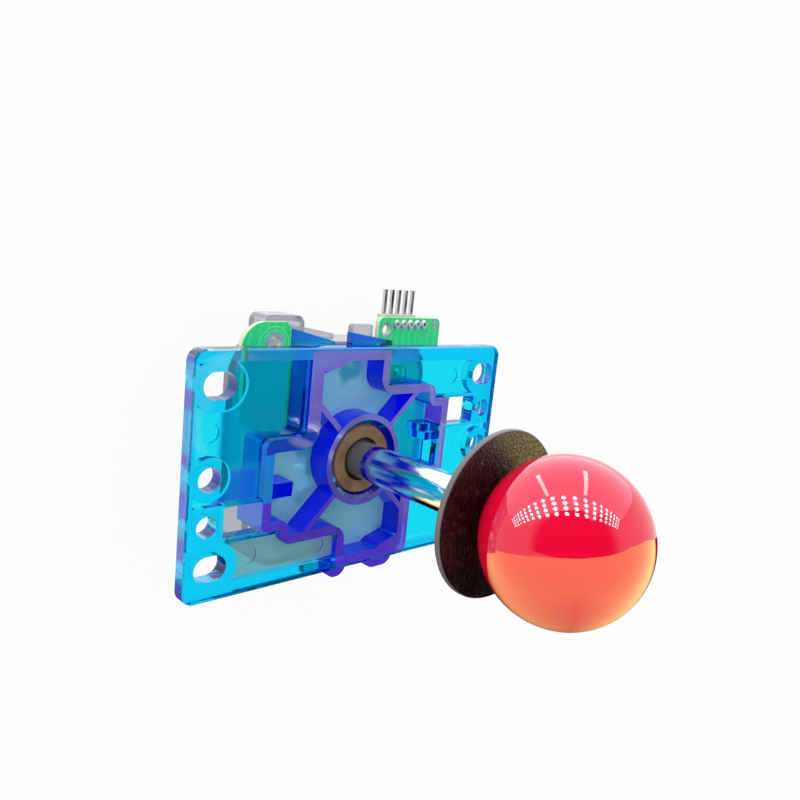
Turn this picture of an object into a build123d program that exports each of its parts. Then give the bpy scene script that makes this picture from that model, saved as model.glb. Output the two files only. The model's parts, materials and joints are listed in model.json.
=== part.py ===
from build123d import *
import os
from math import asin, atan, cos, degrees, radians, sin, sqrt, tan

os.makedirs("parts", exist_ok=True)

# Arcade joystick lever. Millimetres, lever axis on Z, origin on the panel face of the mounting plate.

# Mounting plate
plate_length = 98.0
plate_width = 58.0
plate_thickness = 4.0
plate_corner_radius = 3.0
plate_edge_break = 0.4

# Fixing slots and holes of the plate
slot_end_inset = 6.5
slot_side_inset = 8.0
slot_length = 8.2
slot_width = 6.2
slot_boss_margin = 2.8
middle_hole_inset = 5.2
middle_hole_diameter = 5.8
offset_hole_inset = 5.0
offset_hole_y = 10.9
offset_hole_diameter = 5.0
hole_boss_margin = 2.2

# Sunk panels that thin the plate between its bosses
panel_depth = 1.8
panel_side_margin = 2.8
panel_end_margin = 1.2
upper_panel_bottom = -6.3
lower_panel_inset = 9.4
lower_panel_lap = 3.4
lower_panel_edge_margin = 3.7
ejector_mark_diameter = 4.4
ejector_mark_depth = 0.25
ejector_mark_insets = [(5.6, 39.2), (17.5, 8.6), (37.5, 7.4)]

# Closed wall loop that boxes the mechanism, the same after half a turn
wall_thickness = 2.4
loop_margin = 0.8
loop_shoulder_x = 18.5
loop_step_x = 6.3
loop_solder_gap = 0.95
loop_notch_x = 24.1
loop_flank_x = 29.6
loop_notch_drop = 4.1
loop_ledge_y = 7.7
loop_corner_radius = 2.4
loop_bend_radius = 3.2
loop_notch_radius = 0.6
shoulder_wall = 3.7
ledge_wall = 3.2
ledge_bend_radius = 4.5
web_length = 7.5
web_depth = 3.0
web_knee_run = 6.0
web_knee_depth = 1.2
stub_length = 5.7
stub_top = -3.1
stub_thickness = 2.2
step_length = 6.7
step_thickness = 2.0
step_setback = 1.5
floor_thickness = 1.4
window_hole_gap = 1.7
window_lap = 0.8
window_height = 7.8
window_corner_radius = 0.6

# Pivot hub in the middle of the loop
hub_radius = 12.0
hub_rise = 0.4
hub_rim_width = 1.5
hub_rim_drop = 0.7
hub_skirt = 0.4
rib_thickness = 1.4
rib_turns = [45.0, 135.0]

# Ball pivot
pivot_depth = 4.0
bush_radius = 9.4
bush_top_height = 3.5
bush_rim_clearance = 0.14
bush_bore_radius = 5.6
pivot_ball_radius = 6.6
pivot_ball_top_height = 2.8
pivot_ball_bottom_depth = 4.0
bearing_gap = 0.08
running_clearance = 0.05
tilt_limit = 11.0

# Lever shaft
shaft_diameter = 9.5
shaft_lower_diameter = 7.0
shaft_tail = 2.5
shaft_edge_break = 0.6
stud_diameter = 6.0
stud_length = 12.5
drive_slot_width = 1.2
drive_slot_depth = 1.6

# Ball knob, its threaded insert and the dust washer below it
knob_diameter = 35.0
knob_height = 62.8
knob_flat_depth = 0.95
knob_socket_depth = 3.0
knob_socket_clearance = 0.1
insert_diameter = 9.0
insert_flange_diameter = 11.0
insert_flange_thickness = 1.5
stud_tip_room = 1.5
dust_washer_diameter = 37.6
dust_washer_thickness = 1.6
dust_washer_edge_radius = 0.5
dust_washer_clearance = 0.1
dust_washer_drop = 0.2

# Circuit board
board_depth = 9.2
board_thickness = 1.6
board_clearance = 0.25
board_side_margin = 5.2
board_end_margin = 2.0
board_opening_margin = 4.0
board_shoulder_y = 9.7
left_ear_outer = -32.3
left_ear_rise = 4.8
left_ear_radius = 6.5
left_ear_hole_diameter = 3.4
left_ear_chamfer = 1.5
left_ear_hole_inset = (9.0, 5.1)
right_ear_inner = 9.3
right_ear_outer = 32.1
right_ear_rise = 6.5
right_ear_lap = 0.4
right_neck = 14.0
right_ear_radius = 1.6
right_ear_hole_diameter = 2.8
right_ear_hole_inset = (2.7, 3.3)
notch_inner = 2.0
notch_bend_drop = 4.2
board_edge_radius = 1.2
corner_search = 0.1
solder_room = 1.4

# Snap switches round the actuator
switch_length = 19.8
switch_height = 10.2
switch_thickness = 6.4
switch_reach = 11.6
switch_offset = 7.5
switch_edge_break = 0.4
switch_hole_diameter = 2.4
switch_hole_pitch = 9.5
switch_hole_inset = 2.6
plunger_length = 2.6
plunger_width = 1.4
plunger_rise = 0.7
plunger_seat = 1.6
plunger_travel = 0.7
plunger_clearance = 0.06
plunger_from_hinge = 5.2
leaf_thickness = 0.25
leaf_width = 3.2
leaf_foot_length = 1.6
leaf_foot_inset = 0.2
leaf_tip_past_axis = 2.0
leaf_rest_gap = 0.03
terminal_diameter = 0.9
terminal_hole_clearance = 0.1
terminal_spread = 7.1
terminal_end_inset = 1.1
terminal_edge_inset = 1.0
terminal_rise = 0.6
solder_radius = 0.85
solder_neck = 0.15
header_solder_radius = 1.1

# Pin header
header_pin_count = 5
header_pitch = 2.54
header_centre_x = 20.5
header_row_inset = 1.7
header_pin_width = 0.9
header_pin_chamfer = 0.22
header_pin_offset = 4.1
header_pin_reach = 7.3
header_base_rise = 0.4
header_base_inset = 1.1
header_base_thickness = 3.0
header_side_wall = 0.35
header_edge_break = 0.2

# Return spring, its seat and the actuator
seat_thickness = 0.6
seat_inner_margin = 0.05
seat_edge_margin = 1.6
spring_wire = 1.0
spring_side_gap = 0.3
spring_turns = 4.5
spring_end_gap = 0.02
actuator_leaf_gap = 0.5
actuator_wall = 0.95
actuator_top_depth = 13.0
actuator_pocket_depth = 4.0
actuator_base = 1.2
actuator_chamfer = 0.6
clip_thickness = 0.8
clip_radius = 5.2
clip_groove_radius = 2.7
clip_mouth = 3.4
clip_play = 0.05

# Restrictor cover behind the board
cover_half_length = 28.0
cover_top_margin = 0.6
cover_wall = 1.8
cover_corner_radius = 10.0
cover_depth = 12.7
gate_thickness = 2.0
gate_clearance = 0.34
gate_corner_radius = 2.0
gate_lip_width = 1.6
gate_lip_height = 1.4
clip_lug_clearance = 0.3
wide_lug_left = -23.0
wide_lug_right = -11.2
wide_lug_rise = 6.1
wide_lug_setback = 3.7
wide_lug_length = 7.1
wide_lug_radius = 2.2
narrow_lug_left = 2.0
narrow_lug_right = 9.0
narrow_lug_rise = 4.5
narrow_lug_setback = 0.4
narrow_lug_length = 2.0
narrow_lug_radius = 1.0
lug_wall = 1.4
ramp_right = 3.2
ramp_left_rise = 3.3
ramp_right_rise = 0.7
ramp_length = 3.0

# Snap arms and bumpers on the back edges of the housing
arm_left = -18.4
arm_right = -5.0
arm_rise = 3.2
arm_reach = 4.8
nose_left = -16.0
nose_right = -9.0
nose_depth = 1.2
nose_length = 1.4
nose_clearance = 0.2
bumper_left = -1.4
bumper_right = 12.4
bumper_left_rise = 2.6
bumper_right_rise = 0.5
bumper_thickness = 2.4
lobe_drop = 5.0
lobe_spans = [(-5.9, 0.9), (7.5, 17.4)]
lobe_radius = 3.3

# Levels and radii that follow from the sizes above
pivot_z = -pivot_depth
board_front_z = -board_depth
board_back_z = board_front_z - board_thickness
floor_bottom_z = board_front_z + solder_room
floor_top_z = floor_bottom_z + floor_thickness
hub_bottom_z = board_front_z - hub_skirt
cup_radius = bush_radius + bearing_gap
socket_radius = pivot_ball_radius + bearing_gap
shaft_radius = shaft_diameter / 2
lower_radius = shaft_lower_diameter / 2
shoulder_z = pivot_z + pivot_ball_top_height + running_clearance
knob_radius = knob_diameter / 2
knob_bottom_z = knob_height - knob_radius + knob_flat_depth
stud_bottom_z = knob_bottom_z + knob_socket_depth
stud_top_z = stud_bottom_z + stud_length
seat_bottom_z = hub_bottom_z - seat_thickness
actuator_top_z = -actuator_top_depth
actuator_floor_z = actuator_top_z - actuator_pocket_depth
actuator_bottom_z = actuator_floor_z - actuator_base
clip_top_z = actuator_bottom_z - clip_play
clip_bottom_z = clip_top_z - clip_thickness
gate_back_z = board_back_z - cover_depth
gate_front_z = gate_back_z + gate_thickness
shaft_bottom_z = gate_back_z - shaft_tail
tilt = radians(tilt_limit)
gate_half_width = (pivot_z - gate_back_z) * tan(tilt) + lower_radius / cos(tilt) + gate_clearance
loop_top = plate_width / 2 - loop_margin
cover_top = loop_top + cover_top_margin
arm_inner = cover_top + clip_lug_clearance
lobe_top = wall_thickness - loop_top
lobe_bottom = -loop_top - lobe_drop
slot_x = plate_length / 2 - slot_end_inset
slot_y = plate_width / 2 - slot_side_inset
middle_hole_x = plate_length / 2 - middle_hole_inset
offset_hole_x = plate_length / 2 - offset_hole_inset
window_length = offset_hole_x - offset_hole_diameter / 2 - window_hole_gap - loop_flank_x
window_x = -loop_flank_x - window_length / 2
window_y = window_lap - loop_ledge_y - window_height / 2
switch_mid_z = board_back_z - switch_thickness / 2
terminal_y = switch_reach + switch_height - terminal_edge_inset
loop_step_y = terminal_y - solder_radius - loop_solder_gap
loop_flank_y = loop_step_y - loop_notch_drop
terminal_last_x = switch_offset + switch_length / 2 - terminal_end_inset
board_half_length = terminal_y + board_side_margin
board_trim_x = terminal_last_x + board_end_margin
board_bottom = -terminal_y - board_end_margin
left_ear_top = plate_width / 2 + left_ear_rise
right_ear_top = plate_width / 2 + right_ear_rise
header_row_y = right_ear_top - header_row_inset
header_pin_z = board_back_z - header_pin_offset

quarter_turn = 90.0

# The plate and the cover repeat every feature after half a turn
half_turns = [Plane.XY, Plane.XY.rotated((0, 0, 2 * quarter_turn))]

# Each switch faces the lever from its own side, and the four follow one another round it
switch_sides = {"north": 0, "west": quarter_turn, "south": 2 * quarter_turn, "east": 3 * quarter_turn}


# Outline shared by the housing walls and the cavity inside them
half_loop = [
    (-loop_shoulder_x, loop_top),
    (loop_step_x, loop_top),
    (loop_step_x, loop_step_y),
    (loop_notch_x, loop_step_y),
    (loop_notch_x, loop_flank_y),
    (loop_flank_x, loop_flank_y),
    (loop_flank_x, -loop_ledge_y),
    (loop_shoulder_x, -loop_ledge_y),
]
with BuildSketch() as loop_outline:
    with BuildLine():
        Polyline(*half_loop, *[(-x, -y) for x, y in half_loop], close=True)
    make_face()
    notch_corners = loop_outline.vertices().filter_by(lambda v: abs(abs(v.Y) - loop_flank_y) < corner_search)
    fillet(notch_corners, loop_notch_radius)
    bend_corners = loop_outline.vertices().filter_by(
        lambda v: abs(v.X) > loop_shoulder_x and abs(abs(v.Y) - loop_step_y) < corner_search
    )
    fillet(bend_corners, loop_bend_radius)
    plain_corners = loop_outline.vertices().filter_by(
        lambda v: abs(v.Y) > loop_step_y - corner_search and abs(v.X) < loop_shoulder_x + corner_search
    )
    ledge_corners = loop_outline.vertices().filter_by(lambda v: abs(abs(v.Y) - loop_ledge_y) < corner_search)
    fillet(plain_corners + ledge_corners, loop_corner_radius)

# Outline of the circuit board, shared with the pocket that holds it
with BuildSketch() as board_outline:
    with BuildLine():
        Polyline(
            (-board_half_length, -board_shoulder_y),
            (-board_trim_x, -board_shoulder_y),
            (-board_trim_x, board_bottom),
            (board_half_length, board_bottom),
            (board_half_length, board_shoulder_y),
            (board_trim_x, board_shoulder_y),
            (board_trim_x, -board_bottom),
            (right_neck, -board_bottom),
            (right_neck, loop_top - right_ear_lap),
            (right_ear_outer, loop_top - right_ear_lap),
            (right_ear_outer, right_ear_top),
            (right_ear_inner, right_ear_top),
            (right_ear_inner, loop_top),
            (notch_inner, loop_top - notch_bend_drop),
            (notch_inner, 0),
            (arm_left - board_clearance, 0),
            (arm_left - board_clearance, left_ear_top - left_ear_chamfer),
            (arm_left - board_clearance - left_ear_chamfer, left_ear_top),
            (left_ear_outer, left_ear_top),
            (left_ear_outer, board_shoulder_y),
            (-board_half_length, board_shoulder_y),
            close=True,
        )
    make_face()
    left_corner = board_outline.vertices().group_by(Axis.X)[0].sort_by(Axis.Y)
    fillet(left_corner[-1], left_ear_radius)
    right_corners = board_outline.vertices().filter_by(lambda v: v.Y > left_ear_top)
    fillet(right_corners, right_ear_radius)
    square_corners = board_outline.vertices().filter_by(
        lambda v: v.Y < board_shoulder_y + corner_search and abs(v.X) > board_half_length - corner_search
    )
    fillet(square_corners, board_edge_radius)
    Circle(hub_radius + board_opening_margin, mode=Mode.SUBTRACT)

# Clear moulded housing: plate, sunk panels, wall loop, hub, ribs, snap arms
with BuildPart() as body_housing:
    with BuildSketch():
        RectangleRounded(plate_length, plate_width, plate_corner_radius)
    extrude(amount=-plate_thickness)
    chamfer(body_housing.faces().filter_by(Axis.Z).edges(), plate_edge_break)

    for side in half_turns:
        upper_left = -plate_length / 2 + panel_end_margin
        upper_top = plate_width / 2 - panel_side_margin
        lower_left = -plate_length / 2 + lower_panel_inset
        lower_bottom = -plate_width / 2 + lower_panel_edge_margin
        with BuildSketch(side):
            with Locations((upper_left, upper_panel_bottom)):
                Rectangle(
                    -loop_shoulder_x + wall_thickness - upper_left,
                    upper_top - upper_panel_bottom,
                    align=(Align.MIN, Align.MIN),
                )
            with Locations((lower_left, lower_bottom)):
                Rectangle(
                    -loop_step_x + wall_thickness / 2 - lower_left,
                    lower_panel_lap - loop_step_y - lower_bottom,
                    align=(Align.MIN, Align.MIN),
                )
            with Locations((-slot_x, slot_y), (-slot_x, -slot_y)):
                SlotOverall(
                    slot_length + 2 * slot_boss_margin,
                    slot_width + 2 * slot_boss_margin,
                    mode=Mode.SUBTRACT,
                )
            with Locations((-middle_hole_x, 0)):
                Circle(middle_hole_diameter / 2 + hole_boss_margin, mode=Mode.SUBTRACT)
        extrude(amount=-panel_depth, mode=Mode.SUBTRACT)
        with BuildSketch(side.offset(-panel_depth)):
            with Locations(*[(x - plate_length / 2, y - plate_width / 2) for x, y in ejector_mark_insets]):
                Circle(ejector_mark_diameter / 2)
        extrude(amount=-ejector_mark_depth, mode=Mode.SUBTRACT)

    # Wall loop, its cavity in front of the floor and the board space behind the floor
    with BuildSketch():
        add(loop_outline.sketch)
    extrude(amount=board_back_z)
    with BuildSketch():
        add(loop_outline.sketch)
        offset(amount=-wall_thickness, mode=Mode.REPLACE)
    extrude(amount=floor_top_z, mode=Mode.SUBTRACT)
    with BuildSketch(Plane.XY.offset(floor_bottom_z)):
        add(loop_outline.sketch)
        offset(amount=-wall_thickness, mode=Mode.REPLACE)
    extrude(amount=board_back_z - floor_bottom_z, mode=Mode.SUBTRACT)
    with BuildSketch(Plane.XY.offset(board_front_z)):
        add(board_outline.sketch)
        offset(amount=board_clearance, mode=Mode.REPLACE)
    extrude(amount=-board_thickness, mode=Mode.SUBTRACT)

    # Four ribs tie the hub to the walls
    with BuildSketch():
        for rib_turn in rib_turns:
            Rectangle(plate_width, rib_thickness, rotation=rib_turn)
        add(loop_outline.sketch, mode=Mode.INTERSECT)
    extrude(amount=floor_top_z)

    # Thicker wall along the shoulder and the ledge, with a wide bend between them
    for side in half_turns:
        inner_x = shoulder_wall - loop_shoulder_x
        ledge_inner = loop_ledge_y - ledge_wall
        middle_x = wall_thickness / 2 - loop_shoulder_x
        middle_y = loop_ledge_y - wall_thickness / 2
        with BuildSketch(side) as thick_wall:
            with BuildLine():
                Polyline(
                    (inner_x, loop_top - wall_thickness / 2),
                    (inner_x, ledge_inner),
                    (wall_thickness / 2 - loop_flank_x, ledge_inner),
                    (wall_thickness / 2 - loop_flank_x, middle_y),
                    (middle_x, middle_y),
                    (middle_x, loop_top - wall_thickness / 2),
                    close=True,
                )
            make_face()
            fillet(thick_wall.vertices().group_by(Axis.Y)[0].sort_by(Axis.X)[-1], ledge_bend_radius)
        extrude(amount=floor_top_z)

    # Web in one corner of the cavity and a stepped stub on its side wall
    for side in half_turns:
        inner_y = loop_top - wall_thickness
        stub_left = wall_thickness / 2 - loop_flank_x
        stub_right = wall_thickness - loop_flank_x + stub_length
        step_right = wall_thickness - loop_flank_x + step_length
        with BuildSketch(side):
            with BuildLine():
                Polyline(
                    (inner_x - wall_thickness / 2, inner_y + wall_thickness / 2),
                    (inner_x - wall_thickness / 2, inner_y - web_depth),
                    (inner_x, inner_y - web_depth),
                    (inner_x + web_knee_run, inner_y - web_knee_depth),
                    (inner_x + web_length, inner_y),
                    (inner_x + web_length, inner_y + wall_thickness / 2),
                    close=True,
                )
            make_face()
            with Locations((stub_left, stub_top)):
                Rectangle(stub_right - stub_left, stub_thickness, align=(Align.MIN, Align.MAX))
        extrude(amount=floor_top_z)
        with BuildSketch(side.offset(-step_setback)):
            with Locations((stub_left, stub_top - stub_thickness)):
                Rectangle(step_right - stub_left, step_thickness, align=(Align.MIN, Align.MAX))
        extrude(amount=floor_top_z + step_setback)

    # Hub with a chamfered rim, a straight bore and a round cup below the pivot
    with BuildSketch(Plane.XY.offset(hub_rise)):
        Circle(hub_radius)
    extrude(amount=hub_bottom_z - hub_rise)
    cup_turn = degrees(asin((pivot_z - hub_bottom_z) / cup_radius))
    with BuildSketch(Plane.XZ):
        with BuildLine():
            cup = CenterArc((0, pivot_z), cup_radius, 0, -cup_turn)
            Polyline(
                cup @ 1,
                (0, hub_bottom_z),
                (0, hub_rise),
                (hub_radius - hub_rim_width, hub_rise),
                (cup_radius, hub_rise - hub_rim_drop),
                cup @ 0,
            )
        make_face()
    revolve(axis=Axis.Z, mode=Mode.SUBTRACT)

    for side in half_turns:
        # Fixing slots, round holes and the window beside the wall
        with BuildSketch(side):
            with Locations((-slot_x, slot_y), (-slot_x, -slot_y)):
                SlotOverall(slot_length, slot_width)
            with Locations((-middle_hole_x, 0)):
                Circle(middle_hole_diameter / 2)
            with Locations((-offset_hole_x, -offset_hole_y)):
                Circle(offset_hole_diameter / 2)
            with Locations((window_x, window_y)):
                RectangleRounded(window_length, window_height, window_corner_radius)
        extrude(amount=-plate_thickness, mode=Mode.SUBTRACT)

        # Wedge-shaped snap arm over the cover's edge, with its root and its nose
        with BuildSketch(side.offset(board_front_z)):
            with BuildLine():
                Polyline(
                    (arm_left, arm_inner),
                    (arm_left, arm_inner + arm_rise),
                    (arm_right, arm_inner),
                    close=True,
                )
            make_face()
        extrude(amount=-arm_reach)
        with BuildSketch(side.offset(board_front_z)):
            with Locations((arm_left, loop_top - wall_thickness)):
                Rectangle(
                    arm_right - arm_left,
                    arm_inner - loop_top + wall_thickness,
                    align=(Align.MIN, Align.MIN),
                )
        extrude(amount=-board_thickness)
        with BuildSketch(side.offset(board_front_z - arm_reach)):
            with Locations((nose_left, arm_inner - nose_depth)):
                Rectangle(nose_right - nose_left, nose_depth, align=(Align.MIN, Align.MIN))
        extrude(amount=nose_length)

    # Sloped bumper over the board's edge at the top, and two round lobes at the bottom
    with BuildSketch(Plane.XY.offset(board_front_z)):
        with BuildLine():
            Polyline(
                (bumper_left, loop_top - wall_thickness),
                (bumper_left, arm_inner + bumper_left_rise),
                (bumper_right, arm_inner + bumper_right_rise),
                (bumper_right, loop_top - wall_thickness),
                close=True,
            )
        make_face()
    extrude(amount=bumper_thickness)
    with BuildSketch(Plane.XY.offset(-plate_thickness)):
        for lobe_left, lobe_right in lobe_spans:
            with Locations((lobe_left, lobe_bottom)):
                RectangleRounded(
                    lobe_right - lobe_left,
                    lobe_top - lobe_bottom,
                    lobe_radius,
                    align=(Align.MIN, Align.MIN),
                )
    extrude(amount=board_front_z + plate_thickness)
body_housing.part.label = "body_housing"
export_step(body_housing.part, "parts/body_housing.step")

# Smoke-grey clear cover with the square gate that limits the lever
with BuildPart() as restrictor_cover:
    with BuildSketch(Plane.XY.offset(board_back_z)):
        RectangleRounded(2 * cover_half_length, 2 * cover_top, cover_corner_radius)
    extrude(amount=-cover_depth)
    for side in half_turns:
        wide_lug_front = board_back_z - wide_lug_setback
        narrow_lug_front = board_back_z - narrow_lug_setback
        lug_root = cover_top - cover_wall
        with BuildSketch(side.offset(wide_lug_front)) as wide_lug:
            with Locations((wide_lug_left, lug_root)):
                Rectangle(
                    wide_lug_right - wide_lug_left, cover_wall + wide_lug_rise, align=(Align.MIN, Align.MIN)
                )
            fillet(wide_lug.vertices().group_by(Axis.Y)[-1], wide_lug_radius)
        extrude(amount=-wide_lug_length)
        with BuildSketch(side.offset(narrow_lug_front)) as narrow_lug:
            with Locations((narrow_lug_left, lug_root)):
                Rectangle(
                    narrow_lug_right - narrow_lug_left,
                    cover_wall + narrow_lug_rise,
                    align=(Align.MIN, Align.MIN),
                )
            fillet(narrow_lug.vertices().group_by(Axis.Y)[-1], narrow_lug_radius)
        extrude(amount=-narrow_lug_length)
        with BuildSketch(side.offset(gate_back_z)):
            with BuildLine():
                Polyline(
                    (wide_lug_right - lug_wall, lug_root),
                    (wide_lug_right - lug_wall, cover_top + ramp_left_rise),
                    (ramp_right, cover_top + ramp_right_rise),
                    (ramp_right, lug_root),
                    close=True,
                )
            make_face()
        extrude(amount=ramp_length)

    # Inside of the box, and a pocket in each wide lug
    with BuildSketch(Plane.XY.offset(board_back_z)):
        RectangleRounded(
            2 * (cover_half_length - cover_wall),
            2 * (cover_top - cover_wall),
            cover_corner_radius - cover_wall,
        )
    extrude(amount=gate_front_z - board_back_z, mode=Mode.SUBTRACT)
    for side in half_turns:
        with BuildSketch(side.offset(wide_lug_front)):
            with Locations((wide_lug_left + lug_wall, cover_top)):
                Rectangle(
                    wide_lug_right - wide_lug_left - 2 * lug_wall,
                    wide_lug_rise - lug_wall,
                    align=(Align.MIN, Align.MIN),
                )
        extrude(amount=lug_wall - wide_lug_length, mode=Mode.SUBTRACT)
        nose_centre_x = (nose_left + nose_right) / 2
        nose_centre_z = board_front_z - arm_reach + nose_length / 2
        with BuildSketch(Plane((0, 0, 0), x_dir=side.x_dir, z_dir=side.y_dir).offset(cover_top)):
            with Locations((nose_centre_x, -nose_centre_z)):
                Rectangle(nose_right - nose_left + 2 * nose_clearance, nose_length + 2 * nose_clearance)
        extrude(amount=-cover_wall, mode=Mode.SUBTRACT)

    # Square gate with a raised lip on its inner face
    with BuildSketch(Plane.XY.offset(gate_front_z)):
        lip_width = 2 * (gate_half_width + gate_lip_width)
        RectangleRounded(lip_width, lip_width, gate_corner_radius + gate_lip_width)
    extrude(amount=gate_lip_height)
    with BuildSketch(Plane.XY.offset(gate_back_z)):
        RectangleRounded(2 * gate_half_width, 2 * gate_half_width, gate_corner_radius)
    extrude(amount=gate_thickness + gate_lip_height, mode=Mode.SUBTRACT)
restrictor_cover.part.label = "restrictor_cover"
export_step(restrictor_cover.part, "parts/restrictor_cover.step")

# Places of the switch terminals on the north side, turned with each switch
terminal_spots = [(terminal_last_x - terminal_spread, terminal_y), (terminal_last_x, terminal_y)]
header_spots = [
    (header_centre_x + (i - (header_pin_count - 1) / 2) * header_pitch, header_row_y)
    for i in range(header_pin_count)
]

# Circuit board with an opening for the lever and two ears above the plate
with BuildPart() as circuit_board:
    with BuildSketch(Plane.XY.offset(board_front_z)):
        add(board_outline.sketch)
        with Locations((left_ear_outer + left_ear_hole_inset[0], left_ear_top - left_ear_hole_inset[1])):
            Circle(left_ear_hole_diameter / 2, mode=Mode.SUBTRACT)
        with Locations((right_ear_inner + right_ear_hole_inset[0], right_ear_top - right_ear_hole_inset[1])):
            Circle(right_ear_hole_diameter / 2, mode=Mode.SUBTRACT)
        with Locations(*header_spots):
            Circle(header_pin_width / sqrt(2) + terminal_hole_clearance, mode=Mode.SUBTRACT)
    extrude(amount=-board_thickness)
    for turn in switch_sides.values():
        with BuildSketch(Plane.XY.rotated((0, 0, turn)).offset(board_front_z)):
            with Locations(*terminal_spots):
                Circle(terminal_diameter / 2 + terminal_hole_clearance)
        extrude(amount=-board_thickness, mode=Mode.SUBTRACT)
circuit_board.part.label = "circuit_board"
export_step(circuit_board.part, "parts/circuit_board.step")

# Pin header: five bent pins in the board and a white strip pressed on them
header_width = (header_pin_count - 1) * header_pitch + header_pin_width + 2 * header_side_wall
header_base_bottom = right_ear_top - header_base_inset
header_base_top = right_ear_top + header_base_rise
with BuildPart() as header_base:
    with BuildSketch(Plane.XY.offset(header_pin_z + header_base_thickness / 2)):
        with Locations((header_centre_x, (header_base_bottom + header_base_top) / 2)):
            Rectangle(header_width, header_base_top - header_base_bottom)
    extrude(amount=-header_base_thickness)
    chamfer(header_base.edges().filter_by(Axis.Z), header_edge_break)
    with BuildSketch(Plane.XZ.offset(-header_base_bottom)):
        with Locations(*[(x, header_pin_z) for x, y in header_spots]):
            Rectangle(header_pin_width, header_pin_width)
    extrude(amount=header_base_bottom - header_base_top, mode=Mode.SUBTRACT)
header_base.part.label = "header_base"
export_step(header_base.part, "parts/header_base.step")

header_pin_top = right_ear_top + header_pin_reach
with BuildPart() as header_pins:
    with BuildSketch(Plane.XY.offset(board_front_z + terminal_rise)):
        with Locations(*header_spots):
            Rectangle(header_pin_width, header_pin_width)
    extrude(amount=header_pin_z - header_pin_width / 2 - board_front_z - terminal_rise)
    with BuildSketch(Plane.XZ.offset(-header_row_y)):
        with Locations(*[(x, header_pin_z) for x, y in header_spots]):
            Rectangle(header_pin_width, header_pin_width)
    extrude(amount=header_row_y - header_pin_top)
    tip_edges = header_pins.faces().filter_by(Axis.Y).group_by(Axis.Y)[-1].edges()
    chamfer(tip_edges, header_pin_chamfer)
header_pins.part.label = "header_pins"
export_step(header_pins.part, "parts/header_pins.step")

# Solder cones on the front of the board, round every pin
solder_taper = degrees(atan((solder_radius - terminal_diameter / 2 - solder_neck) / terminal_rise))
with BuildPart() as solder_joints:
    for turn in switch_sides.values():
        turned = Plane.XY.rotated((0, 0, turn))
        with BuildSketch(turned.offset(board_front_z)):
            with Locations(*terminal_spots):
                Circle(solder_radius)
        extrude(amount=terminal_rise, taper=solder_taper)
        with BuildSketch(turned.offset(board_front_z)):
            with Locations(*terminal_spots):
                Circle(terminal_diameter / 2)
        extrude(amount=terminal_rise, mode=Mode.SUBTRACT)
    with BuildSketch(Plane.XY.offset(board_front_z)):
        with Locations(*header_spots):
            Circle(header_solder_radius)
    extrude(amount=terminal_rise, taper=solder_taper)
    with BuildSketch(Plane.XY.offset(board_front_z)):
        with Locations(*header_spots):
            Rectangle(header_pin_width, header_pin_width)
    extrude(amount=terminal_rise, mode=Mode.SUBTRACT)
solder_joints.part.label = "solder_joints"
export_step(solder_joints.part, "parts/solder_joints.step")

# Places along one switch, on its own side of the lever
switch_middle_y = switch_reach + switch_height / 2
hinge_x = switch_offset + switch_length / 2 - leaf_foot_inset - leaf_foot_length
plunger_x = hinge_x - plunger_from_hinge
plunger_tip_y = switch_reach - plunger_rise
leaf_foot_y = switch_reach - leaf_thickness / 2
leaf_at_plunger_y = plunger_tip_y - leaf_thickness / 2 - leaf_rest_gap
leaf_contact_run = plunger_from_hinge - plunger_width / 2
leaf_slope = (leaf_foot_y - leaf_at_plunger_y) / leaf_contact_run
leaf_tip_y = leaf_foot_y - leaf_slope * (hinge_x + leaf_tip_past_axis)

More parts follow.
